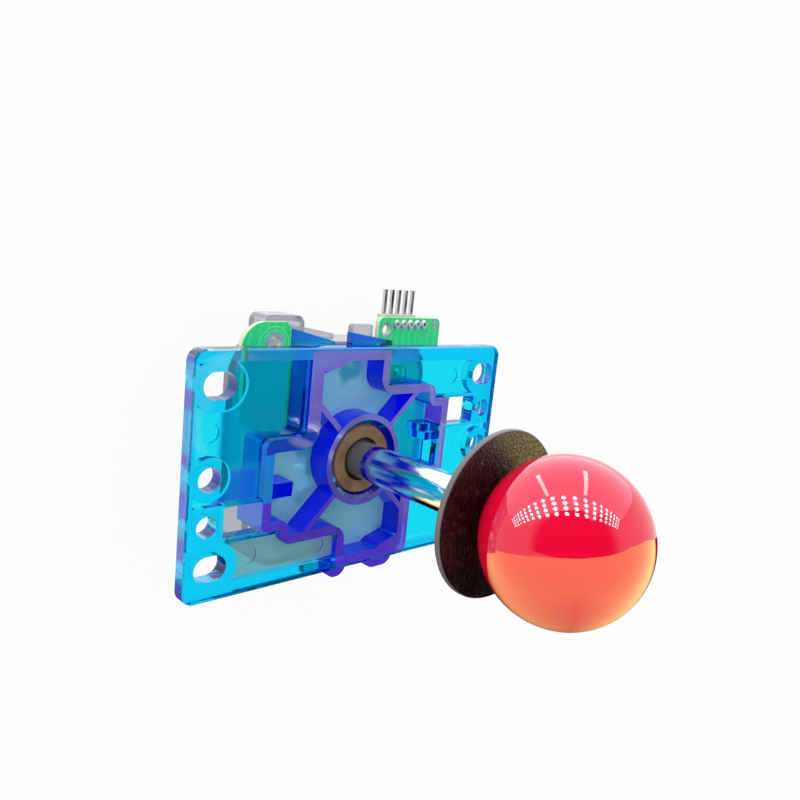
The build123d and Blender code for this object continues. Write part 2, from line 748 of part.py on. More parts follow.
for side_name, turn in switch_sides.items():
    switch_plane = Plane.XY.rotated((0, 0, turn))
    inward = Plane(switch_plane.origin, x_dir=switch_plane.x_dir, z_dir=-switch_plane.y_dir)

    # Moulded case with two rivet holes and a slot for the plunger
    with BuildPart() as switch_case:
        with BuildSketch(switch_plane.offset(board_back_z)):
            with Locations((switch_offset, switch_middle_y)):
                Rectangle(switch_length, switch_height)
            hole_y = switch_reach + switch_height - switch_hole_inset
            with Locations(
                (switch_offset - switch_hole_pitch / 2, hole_y),
                (switch_offset + switch_hole_pitch / 2, switch_reach + switch_hole_inset),
            ):
                Circle(switch_hole_diameter / 2, mode=Mode.SUBTRACT)
        extrude(amount=-switch_thickness)
        back_face = switch_case.faces().sort_by(Axis.Z)[0]
        chamfer(back_face.outer_wire().edges(), switch_edge_break)
        with BuildSketch(inward.offset(-switch_reach)):
            with Locations((plunger_x, switch_mid_z)):
                SlotOverall(
                    plunger_length + 2 * plunger_clearance,
                    plunger_width + 2 * plunger_clearance,
                    rotation=quarter_turn,
                )
        extrude(amount=-(plunger_seat + plunger_travel + plunger_clearance), mode=Mode.SUBTRACT)
    switch_case.part.label = "switch_case_" + side_name
    export_step(switch_case.part, "parts/switch_case_" + side_name + ".step")

    # Plunger that the leaf presses into the case
    with BuildPart() as switch_plunger:
        with BuildSketch(inward.offset(-switch_reach - plunger_seat)):
            with Locations((plunger_x, switch_mid_z)):
                SlotOverall(plunger_length, plunger_width, rotation=quarter_turn)
        extrude(amount=plunger_seat + plunger_rise)
    switch_plunger.part.label = "switch_plunger_" + side_name
    export_step(switch_plunger.part, "parts/switch_plunger_" + side_name + ".step")

    # Spring leaf from its foot on the case, over the plunger, to the actuator
    with BuildPart() as switch_leaf:
        with BuildSketch(switch_plane.offset(switch_mid_z - leaf_width / 2)):
            with BuildLine():
                Polyline(
                    (hinge_x + leaf_foot_length, leaf_foot_y),
                    (hinge_x, leaf_foot_y),
                    (-leaf_tip_past_axis, leaf_tip_y),
                )
            trace(line_width=leaf_thickness)
        extrude(amount=leaf_width)
    switch_leaf.part.label = "switch_leaf_" + side_name
    export_step(switch_leaf.part, "parts/switch_leaf_" + side_name + ".step")

    # Two terminals from the case through the board
    with BuildPart() as switch_terminals:
        with BuildSketch(switch_plane.offset(board_back_z)):
            with Locations(*terminal_spots):
                Circle(terminal_diameter / 2)
        extrude(amount=board_thickness + terminal_rise)
    switch_terminals.part.label = "switch_terminals_" + side_name
    export_step(switch_terminals.part, "parts/switch_terminals_" + side_name + ".step")

# Pivot bush: a zone of a ball outside, a socket inside, open below for the lever
socket_turn_top = degrees(asin(bush_top_height / socket_radius))
socket_bottom_depth = sqrt(socket_radius**2 - bush_bore_radius**2)
socket_turn_bottom = degrees(asin(socket_bottom_depth / socket_radius))
bush_turn_top = degrees(asin(bush_top_height / bush_radius))
bush_rim_depth = pivot_z - hub_bottom_z - bush_rim_clearance
bush_turn_bottom = degrees(asin(bush_rim_depth / bush_radius)) - tilt_limit
bush_bottom_depth = bush_radius * sin(radians(bush_turn_bottom))
with BuildPart() as pivot_bush:
    with BuildSketch(Plane.XZ):
        with BuildLine():
            outside = CenterArc(
                (0, pivot_z), bush_radius, -bush_turn_bottom, bush_turn_bottom + bush_turn_top
            )
            socket = CenterArc(
                (0, pivot_z), socket_radius, -socket_turn_bottom, socket_turn_bottom + socket_turn_top
            )
            Line(outside @ 1, socket @ 1)
            Polyline(socket @ 0, (bush_bore_radius, pivot_z - bush_bottom_depth), outside @ 0)
        make_face()
    revolve(axis=Axis.Z)
pivot_bush.part.label = "pivot_bush"
export_step(pivot_bush.part, "parts/pivot_bush.step")

# Pivot ball on the lever shaft
ball_turn_top = degrees(asin(pivot_ball_top_height / pivot_ball_radius))
ball_turn_bottom = degrees(asin(pivot_ball_bottom_depth / pivot_ball_radius))
ball_bore_radius = lower_radius + running_clearance
with BuildPart() as pivot_ball:
    with BuildSketch(Plane.XZ):
        with BuildLine():
            zone = CenterArc(
                (0, pivot_z), pivot_ball_radius, -ball_turn_bottom, ball_turn_bottom + ball_turn_top
            )
            Polyline(
                zone @ 1,
                (ball_bore_radius, pivot_z + pivot_ball_top_height),
                (ball_bore_radius, pivot_z - pivot_ball_bottom_depth),
                zone @ 0,
            )
        make_face()
    revolve(axis=Axis.Z)
pivot_ball.part.label = "pivot_ball"
export_step(pivot_ball.part, "parts/pivot_ball.step")

# Turned lever shaft: stud, thick stem, shoulder on the ball, tail with a clip groove
with BuildPart() as lever_shaft:
    with BuildSketch(Plane.XZ):
        with BuildLine():
            Polyline(
                (0, stud_top_z),
                (stud_diameter / 2 - shaft_edge_break, stud_top_z),
                (stud_diameter / 2, stud_top_z - shaft_edge_break),
                (stud_diameter / 2, stud_bottom_z),
                (shaft_radius - shaft_edge_break, stud_bottom_z),
                (shaft_radius, stud_bottom_z - shaft_edge_break),
                (shaft_radius, shoulder_z),
                (lower_radius, shoulder_z),
                (lower_radius, clip_top_z),
                (clip_groove_radius, clip_top_z),
                (clip_groove_radius, clip_bottom_z),
                (lower_radius, clip_bottom_z),
                (lower_radius, shaft_bottom_z + shaft_edge_break),
                (lower_radius - shaft_edge_break, shaft_bottom_z),
                (0, shaft_bottom_z),
                close=True,
            )
        make_face()
    revolve(axis=Axis.Z)
    with BuildSketch(Plane.XY.offset(shaft_bottom_z)):
        Rectangle(shaft_lower_diameter, drive_slot_width)
    extrude(amount=drive_slot_depth, mode=Mode.SUBTRACT)
lever_shaft.part.label = "lever_shaft"
export_step(lever_shaft.part, "parts/lever_shaft.step")

# Actuator: an upside-down cap on the lever that holds the spring and presses the leaves
leaf_distance = (leaf_foot_y - leaf_slope * hinge_x) / sqrt(1 + leaf_slope**2)
actuator_radius = leaf_distance - leaf_thickness / 2 - actuator_leaf_gap
spring_radius = actuator_radius - actuator_wall - spring_side_gap - spring_wire / 2
with BuildPart() as actuator:
    with BuildSketch(Plane.XY.offset(actuator_top_z)):
        Circle(actuator_radius)
    extrude(amount=actuator_bottom_z - actuator_top_z)
    chamfer(actuator.edges().group_by(Axis.Z)[0], actuator_chamfer)
    with BuildSketch(Plane.XY.offset(actuator_top_z)):
        Circle(actuator_radius - actuator_wall)
    extrude(amount=actuator_floor_z - actuator_top_z, mode=Mode.SUBTRACT)
    with BuildSketch(Plane.XY.offset(actuator_top_z)):
        Circle(lower_radius + running_clearance)
    extrude(amount=actuator_bottom_z - actuator_top_z, mode=Mode.SUBTRACT)
actuator.part.label = "actuator"
export_step(actuator.part, "parts/actuator.step")

# Return spring between its seat under the hub and the floor of the actuator
spring_top_z = seat_bottom_z - spring_end_gap - spring_wire / 2
spring_bottom_z = actuator_floor_z + spring_end_gap + spring_wire / 2
spring_height = spring_top_z - spring_bottom_z
with BuildPart() as return_spring:
    with BuildLine():
        coil = Helix(
            spring_height / spring_turns, spring_height, spring_radius, center=(0, 0, spring_bottom_z)
        )
    with BuildSketch(Plane(coil @ 0, z_dir=coil % 0)):
        Circle(spring_wire / 2)
    sweep(path=coil, is_frenet=True)
return_spring.part.label = "return_spring"
export_step(return_spring.part, "parts/return_spring.step")

with BuildPart() as spring_seat:
    with BuildSketch(Plane.XY.offset(hub_bottom_z)):
        Circle(hub_radius - seat_edge_margin)
        Circle(spring_radius - spring_wire / 2 - seat_inner_margin, mode=Mode.SUBTRACT)
    extrude(amount=-seat_thickness)
spring_seat.part.label = "spring_seat"
export_step(spring_seat.part, "parts/spring_seat.step")

# Retaining clip in the groove under the actuator
with BuildPart() as retaining_clip:
    with BuildSketch(Plane.XY.offset(clip_top_z)):
        Circle(clip_radius)
        Circle(clip_groove_radius, mode=Mode.SUBTRACT)
        Rectangle(clip_radius, clip_mouth, align=(Align.MIN, Align.CENTER), mode=Mode.SUBTRACT)
    extrude(amount=-clip_thickness)
retaining_clip.part.label = "retaining_clip"
export_step(retaining_clip.part, "parts/retaining_clip.step")

# Dust washer under the knob, free to slide down the stem
washer_top_z = knob_bottom_z - dust_washer_drop
washer_bore = shaft_radius + dust_washer_clearance
with BuildPart() as dust_washer:
    with BuildSketch(Plane.XY.offset(washer_top_z)):
        Circle(dust_washer_diameter / 2)
        Circle(washer_bore, mode=Mode.SUBTRACT)
    extrude(amount=-dust_washer_thickness)
    rim_edges = dust_washer.edges().filter_by(GeomType.CIRCLE).sort_by(SortBy.RADIUS)[-2:]
    fillet(rim_edges, dust_washer_edge_radius)
dust_washer.part.label = "dust_washer"
export_step(dust_washer.part, "parts/dust_washer.step")

# Ball knob with a flat, a socket for the stem and a stepped bore for the insert
insert_bottom_z = stud_bottom_z
insert_top_z = stud_top_z + stud_tip_room
flat_turn = degrees(asin((knob_radius - knob_flat_depth) / knob_radius))
socket_radius_knob = shaft_radius + knob_socket_clearance
with BuildPart() as ball_knob:
    with BuildSketch(Plane.XZ):
        with BuildLine():
            skin = CenterArc((0, knob_height), knob_radius, -flat_turn, flat_turn + quarter_turn)
            Polyline(
                skin @ 1,
                (0, insert_top_z),
                (insert_diameter / 2, insert_top_z),
                (insert_diameter / 2, insert_bottom_z + insert_flange_thickness),
                (insert_flange_diameter / 2, insert_bottom_z + insert_flange_thickness),
                (insert_flange_diameter / 2, insert_bottom_z),
                (socket_radius_knob, insert_bottom_z),
                (socket_radius_knob, knob_bottom_z),
                skin @ 0,
            )
        make_face()
    revolve(axis=Axis.Z)
ball_knob.part.label = "ball_knob"
export_step(ball_knob.part, "parts/ball_knob.step")

# Threaded brass insert moulded into the knob
insert_bore = stud_diameter / 2 + running_clearance
with BuildPart() as knob_insert:
    with BuildSketch(Plane.XZ):
        with BuildLine():
            Polyline(
                (insert_bore, insert_bottom_z),
                (insert_flange_diameter / 2, insert_bottom_z),
                (insert_flange_diameter / 2, insert_bottom_z + insert_flange_thickness),
                (insert_diameter / 2, insert_bottom_z + insert_flange_thickness),
                (insert_diameter / 2, insert_top_z),
                (insert_bore, insert_top_z),
                close=True,
            )
        make_face()
    revolve(axis=Axis.Z)
knob_insert.part.label = "knob_insert"
export_step(knob_insert.part, "parts/knob_insert.step")
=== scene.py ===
"""Dresses the arcade joystick lever and sets it in a plain white studio."""

import functools
import json
import logging
import math
from dataclasses import dataclass
from enum import Enum
from typing import Any, Optional, Sequence

import bmesh
import bpy
from mathutils import Matrix, Vector

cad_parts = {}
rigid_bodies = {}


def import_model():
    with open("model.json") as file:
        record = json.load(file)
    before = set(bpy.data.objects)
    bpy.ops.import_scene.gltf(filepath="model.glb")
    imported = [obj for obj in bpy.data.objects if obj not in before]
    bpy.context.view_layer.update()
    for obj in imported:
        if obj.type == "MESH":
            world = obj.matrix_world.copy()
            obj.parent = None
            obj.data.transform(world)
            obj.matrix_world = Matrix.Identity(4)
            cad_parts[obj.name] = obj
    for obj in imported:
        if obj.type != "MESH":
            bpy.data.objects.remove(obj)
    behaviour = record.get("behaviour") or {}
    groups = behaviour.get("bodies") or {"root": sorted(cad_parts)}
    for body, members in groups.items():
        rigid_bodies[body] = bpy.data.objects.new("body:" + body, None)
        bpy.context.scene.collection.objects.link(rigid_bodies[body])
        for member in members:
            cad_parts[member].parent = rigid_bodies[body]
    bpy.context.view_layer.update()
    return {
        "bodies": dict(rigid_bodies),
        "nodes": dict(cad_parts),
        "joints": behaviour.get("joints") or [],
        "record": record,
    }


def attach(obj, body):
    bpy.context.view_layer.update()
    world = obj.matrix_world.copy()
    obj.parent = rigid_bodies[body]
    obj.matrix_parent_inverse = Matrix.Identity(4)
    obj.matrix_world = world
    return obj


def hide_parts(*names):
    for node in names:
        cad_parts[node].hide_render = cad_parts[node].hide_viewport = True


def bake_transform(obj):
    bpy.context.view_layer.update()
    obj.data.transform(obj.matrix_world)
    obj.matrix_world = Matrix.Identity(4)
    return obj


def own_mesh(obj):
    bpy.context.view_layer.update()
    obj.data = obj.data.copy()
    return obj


LOG = logging.getLogger("joystick_lever")
MM = 0.001
Rgb = tuple[float, float, float]
Point = tuple[float, float, float]
Spot = tuple[float, float]
Socket = bpy.types.NodeSocket
Piece = bpy.types.Object
MeshBuilder = bmesh.types.BMesh
WHITE: Rgb = (1.0, 1.0, 1.0)
FLAT: Point = (1.0, 1.0, 0.0)
UNIT: Spot = (0.0, 1.0)
PLASTIC_IOR = 1.5
CLOUD_DETAIL = 3.0
FINE_DETAIL: Spot = (3.0, 0.6)


def darker(colour: Rgb, share: float) -> Rgb:
    """Colour that keeps a share of its light."""
    return tuple(channel * share for channel in colour)


def opposite(way: Point) -> Point:
    """Way in the other direction."""
    return tuple(-part for part in way)


class Side(Enum):
    """Sides of the lever on which a switch sits, as quarter turns about the lever."""

    NORTH = 0
    WEST = 1
    SOUTH = 2
    EAST = 3

    @property
    def label(self) -> str:
        """Name that the switch pieces of this side end in."""
        return self.name.lower()

    @property
    def tilt_joint(self) -> str:
        """Joint that leans the lever towards this side."""
        return "tilt_x" if self in (Side.NORTH, Side.SOUTH) else "tilt_y"

    def turn(self) -> Matrix:
        """Turn that takes the north side to this side."""
        return Matrix.Rotation(self.value * math.pi / 2, 4, "Z")


class NodeSheet:
    """Node tree of one material or world, with short calls that add and join nodes."""

    def __init__(self, tree: bpy.types.NodeTree) -> None:
        """Empties the tree.

        Args:
            tree: Node tree to fill.
        """
        self.tree = tree
        tree.nodes.clear()

    def add(self, kind: str, inputs: dict[Any, Any], **settings: Any) -> bpy.types.Node:
        """Adds a node.

        Args:
            kind: Blender's name of the node type.
            inputs: Socket name or index to a value, a colour, or a socket to join.
            settings: Properties of the node.

        Returns:
            The new node.
        """
        node = self.tree.nodes.new(kind)
        for key, value in settings.items():
            setattr(node, key, value)
        for key, value in inputs.items():
            target = node.inputs[key]
            if isinstance(value, Socket):
                self.tree.links.new(value, target)
            else:
                target.default_value = (*value, 1.0) if target.type == "RGBA" else value
        return node

    def math(self, operation: str, first: Any, second: Any = 0.0, clamp: bool = False) -> Socket:
        """Works out one number.

        Args:
            operation: Blender's name of the operation.
            first: First value or socket.
            second: Second value or socket.
            clamp: Whether the result is kept from 0 to 1.

        Returns:
            Socket of the result.
        """
        inputs = {0: first, 1: second}
        return self.add("ShaderNodeMath", inputs, operation=operation, use_clamp=clamp).outputs[0]

    def chain(self, operation: str, values: Sequence[Any]) -> Socket:
        """One number worked out from any count of values, two at a time."""
        return functools.reduce(functools.partial(self.math, operation), values)

    def every(self, *masks: Any) -> Socket:
        """Product of masks or values, so what all the masks hold."""
        return self.chain("MULTIPLY", masks)

    def either(self, *masks: Any) -> Socket:
        """Largest of masks, so what any of them holds."""
        return self.chain("MAXIMUM", masks)

    def weigh(self, first: Socket, second: Socket, share: float) -> Socket:
        """Mean of two values, by the share of the second."""
        return self.math("ADD", self.every(first, 1 - share), self.every(second, share))

    def rest(self, mask: Socket) -> Socket:
        """What a mask leaves out."""
        return self.math("SUBTRACT", 1.0, mask)

    def vector(self, operation: str, first: Any, second: Any) -> Socket:
        """Vector worked out from two vectors or sockets."""
        inputs = {0: first, 1: second}
        return self.add("ShaderNodeVectorMath", inputs, operation=operation).outputs[0]

    def measure(self, operation: str, first: Any, second: Any = (0.0, 0.0, 0.0)) -> Socket:
        """Number worked out from two vectors or sockets."""
        inputs = {0: first, 1: second}
        return self.add("ShaderNodeVectorMath", inputs, operation=operation).outputs[1]

    def axes(self, vector: Socket) -> tuple[Socket, ...]:
        """Three parts of a vector."""
        return tuple(self.add("ShaderNodeSeparateXYZ", {0: vector}).outputs)

    def fade(self, value: Socket, start: float, end: float) -> Socket:
        """Goes smoothly from 0 at start to 1 at end.

        Args:
            value: Socket to read.
            start: Value that gives 0.
            end: Value that gives 1.

        Returns:
            Socket of the result.
        """
        limits = (start, end, 0.0, 1.0) if start < end else (end, start, 1.0, 0.0)
        inputs = dict(enumerate((value, *limits)))
        settings = {"interpolation_type": "SMOOTHSTEP", "clamp": True}
        return self.add("ShaderNodeMapRange", inputs, **settings).outputs[0]

    def spread(self, value: Socket, limits: Spot, first: float, last: float) -> Socket:
        """Goes evenly from a first to a last number.

        Args:
            value: Socket to read.
            limits: Values that give the first and the last number.
            first: First number.
            last: Last number.

        Returns:
            Socket of the result.
        """
        inputs = dict(enumerate((value, *limits, first, last)))
        return self.add("ShaderNodeMapRange", inputs).outputs[0]

    def noise(
        self, place: Socket, scale: float, detail: float = 2.0, rough: float = 0.5
    ) -> Socket:
        """Adds cloudy noise.

        Args:
            place: Socket with the position in metres.
            scale: Waves per metre.
            detail: Number of finer layers.
            rough: Weight of the finer layers.

        Returns:
            Socket of the noise, about 0.5 on average.
        """
        inputs = {"Vector": place, "Scale": scale, "Detail": detail, "Roughness": rough}
        return self.add("ShaderNodeTexNoise", inputs).outputs[0]

    def mix(self, share: Any, first: Any, second: Any) -> Socket:
        """Colour mixed from two colours or sockets, by the share of the second."""
        inputs = {0: share, 6: first, 7: second}
        return self.add("ShaderNodeMix", inputs, data_type="RGBA").outputs[2]

    def bump(
        self, height: Socket, strength: float, depth: float, base: Optional[Socket] = None
    ) -> Socket:
        """Turns a height into a surface normal.

        Args:
            height: Socket of the height, 0 to 1.
            strength: Share of the effect.
            depth: Depth of the relief in metres.
            base: Socket of the normal to start from.

        Returns:
            Socket of the normal.
        """
        inputs = {"Strength": strength, "Distance": depth, "Height": height}
        if base is not None:
            inputs["Normal"] = base
        return self.add("ShaderNodeBump", inputs).outputs[0]

    def place(self) -> Socket:
        """Position on the piece, in metres."""
        return self.add("ShaderNodeTexCoord", {}).outputs["Object"]

    def surface(self, colour: Any, rough: Any, normal: Socket, **more: Any) -> bpy.types.Node:
        """Adds the shader of a surface.

        Args:
            colour: Colour or socket.
            rough: Roughness or socket.
            normal: Socket of the normal.
            more: Other inputs, with _ for each blank in their names.

        Returns:
            The shader node.
        """
        inputs = {"Base Color": colour, "Roughness": rough, "Normal": normal}
        inputs |= {key.replace("_", " "): value for key, value in more.items()}
        return self.add("ShaderNodeBsdfPrincipled", inputs)

    def finish(self, surface: bpy.types.Node, volume: Optional[bpy.types.Node] = None) -> None:
        """Joins the shaders to the output.

        Args:
            surface: Node whose first output is the surface.
            volume: Node whose first output is the inside.
        """
        inputs = {"Surface": surface.outputs[0]}
        if volume is not None:
            inputs["Volume"] = volume.outputs[0]
        self.add("ShaderNodeOutputMaterial", inputs)


def new_sheet(name: str) -> tuple[bpy.types.Material, NodeSheet]:
    """Makes an empty material.

    Args:
        name: Name of the finish.

    Returns:
        The material and its node sheet.
    """
    material = bpy.data.materials.new(name)
    material.use_nodes = True
    return material, NodeSheet(material.node_tree)


@dataclass(frozen=True)
class WallPath:
    """Middle line of the housing's closed wall, the same after half a turn, in millimetres."""

    shoulder_x: float = 18.5
    top: float = 28.2
    step_x: float = 6.3
    step_y: float = 19.0
    notch_x: float = 24.1
    flank_x: float = 29.6
    flank_y: float = 14.9
    ledge_y: float = 7.7
    wall: float = 2.4
    web: tuple[Spot, Spot] = ((-14.1, 24.4), (-8.9, 25.6))
    bend: tuple[Spot, ...] = (
        (-16.0, 27.0), (-16.0, 9.0), (-16.97, 6.67), (-19.3, 5.7), (-28.2, 5.7)
    )

    def outline(self) -> list[Spot]:
        """Finds the wall's outside.

        Returns:
            Its corners in order.
        """
        half = [
            (-self.shoulder_x, self.top),
            (self.step_x, self.top),
            (self.step_x, self.step_y),
            (self.notch_x, self.step_y),
            (self.notch_x, self.flank_y),
            (self.flank_x, self.flank_y),
            (self.flank_x, -self.ledge_y),
            (self.shoulder_x, -self.ledge_y),
        ]
        return half + [(-x, -y) for x, y in half]

    def middle(self) -> list[Spot]:
        """Finds the line in the middle of the wall.

        Returns:
            Its corners in order.
        """
        corners = [Vector(spot) for spot in self.outline()]
        found = []
        for index, corner in enumerate(corners):
            before = (corner - corners[index - 1]).normalized()
            after = (corners[(index + 1) % len(corners)] - corner).normalized()
            inward_before = Vector((before.y, -before.x))
            inward_after = Vector((after.y, -after.x))
            bisector = inward_before + inward_after
            shift = bisector * (self.wall / (2 + 2 * inward_before.dot(inward_after)))
            found.append(tuple(corner + shift))
        return found

    def runs(self) -> list[tuple[Spot, Spot]]:
        """Divides the middle line, the corner webs and the thicker bends into straight runs.

        Returns:
            Start and end of each run.
        """
        corners = self.middle()
        loop = [(corners[index - 1], corners[index]) for index in range(len(corners))]
        extra = [self.web, *zip(self.bend, self.bend[1:])]
        return loop + extra + [((-a[0], -a[1]), (-b[0], -b[1])) for a, b in extra]


class PlateMap:
    """Position and facing on the housing, as sockets in millimetres."""

    LEANING = (0.3, 0.7)

    def __init__(self, sheet: NodeSheet, place: Socket) -> None:
        """Splits the position and finds the faces along the plate and the upright ones.

        Args:
            sheet: Node sheet of the material.
            place: Socket of the position in metres.
        """
        self.sheet = sheet
        millimetres = sheet.vector("MULTIPLY", place, (1 / MM, 1 / MM, 1 / MM))
        self.x, self.y, self.z = sheet.axes(millimetres)
        self.flat = sheet.vector("MULTIPLY", millimetres, FLAT)
        normal = sheet.add("ShaderNodeTexCoord", {}).outputs["Normal"]
        self.facing = sheet.fade(sheet.math("ABSOLUTE", sheet.axes(normal)[2]), *self.LEANING)
        self.upright = sheet.rest(self.facing)

    def distance(self, runs: Sequence[tuple[Spot, Spot]]) -> Socket:
        """Finds the distance from the nearest of some straight runs.

        Args:
            runs: Start and end of each run in millimetres.

        Returns:
            Socket of the distance in millimetres.
        """
        sheet = self.sheet
        gaps = []
        for start, end in runs:
            along = Vector((end[0] - start[0], end[1] - start[1], 0.0))
            offset = sheet.vector("SUBTRACT", self.flat, (*start, 0.0))
            share = sheet.measure("DOT_PRODUCT", offset, tuple(along / along.length_squared))
            kept = sheet.math("ADD", share, 0.0, clamp=True)
            inputs = {0: tuple(along), "Scale": kept}
            step = sheet.add("ShaderNodeVectorMath", inputs, operation="SCALE").outputs[0]
            gaps.append(sheet.measure("LENGTH", sheet.vector("SUBTRACT", offset, step)))
        return sheet.chain("MINIMUM", gaps)


@dataclass(frozen=True)
class Zone:
    """Box on the plate, in millimetres, where the moulding looks different."""

    low: Spot
    high: Spot
    levels: Spot
    soft: float = 0.4
    level_soft: float = 0.1

    def mask(self, plate: PlateMap) -> Socket:
        """Finds the zone.

        Args:
            plate: Position on the housing.

        Returns:
            Socket of the mask.
        """
        limits = (*zip(self.low, self.high), self.levels)
        softs = (self.soft, self.soft, self.level_soft)
        steps = []
        for axis, (low, high), soft in zip((plate.x, plate.y, plate.z), limits, softs):
            steps.append(plate.sheet.fade(axis, low - soft, low))
            steps.append(plate.sheet.fade(axis, high + soft, high))
        return plate.sheet.every(*steps)


@dataclass(frozen=True)
class ClearPlastic:
    """Polished clear moulding whose dye deepens with the length of the light's way."""

    name: str
    tint: Rgb
    dye: Rgb
    density: float
    roughness: float = 0.02
    haze: float = 0.0
    edge_round: float = 0.18 * MM
    ior: float = 1.53
    cloud: float = 60.0
    cloud_dark: float = 0.93
    flow: float = 90.0
    flow_relief: Spot = (0.15, 0.4 * MM)
    handling: float = 700.0
    handled: Spot = (0.35, 0.75)
    handled_rough: float = 3.0

    def clouded(self, sheet: NodeSheet, place: Socket) -> Socket:
        """Tint with faint clouds."""
        cloud = sheet.noise(place, self.cloud)
        return sheet.mix(cloud, self.tint, darker(self.tint, self.cloud_dark))

    def close(self, sheet: NodeSheet, place: Socket, colour: Socket, clear: Any) -> None:
        """Adds the shaders.

        Args:
            sheet: Node sheet of the material.
            place: Position socket.
            colour: Socket of the tint at the surface.
            clear: How clear the surface is, a value or a socket.
        """
        flow = sheet.noise(place, self.flow, 1.0)
        handling = sheet.noise(place, self.handling, *FINE_DETAIL)
        worn = self.roughness * self.handled_rough
        rough = sheet.spread(handling, self.handled, self.roughness, worn)
        rounded = sheet.add("ShaderNodeBevel", {"Radius": self.edge_round}, samples=4).outputs[0]
        normal = sheet.bump(flow, *self.flow_relief, rounded)
        shader = sheet.surface(colour, rough, normal, IOR=self.ior, Transmission_Weight=clear)
        dye = {"Color": self.dye, "Density": self.density}
        sheet.finish(shader, sheet.add("ShaderNodeVolumeAbsorption", dye))

    def material(self) -> bpy.types.Material:
        """Makes the finish with one tint all over.

        Returns:
            The new material.
        """
        material, sheet = new_sheet(self.name)
        place = sheet.place()
        self.close(sheet, place, self.clouded(sheet, place), 1.0 - self.haze)
        return material


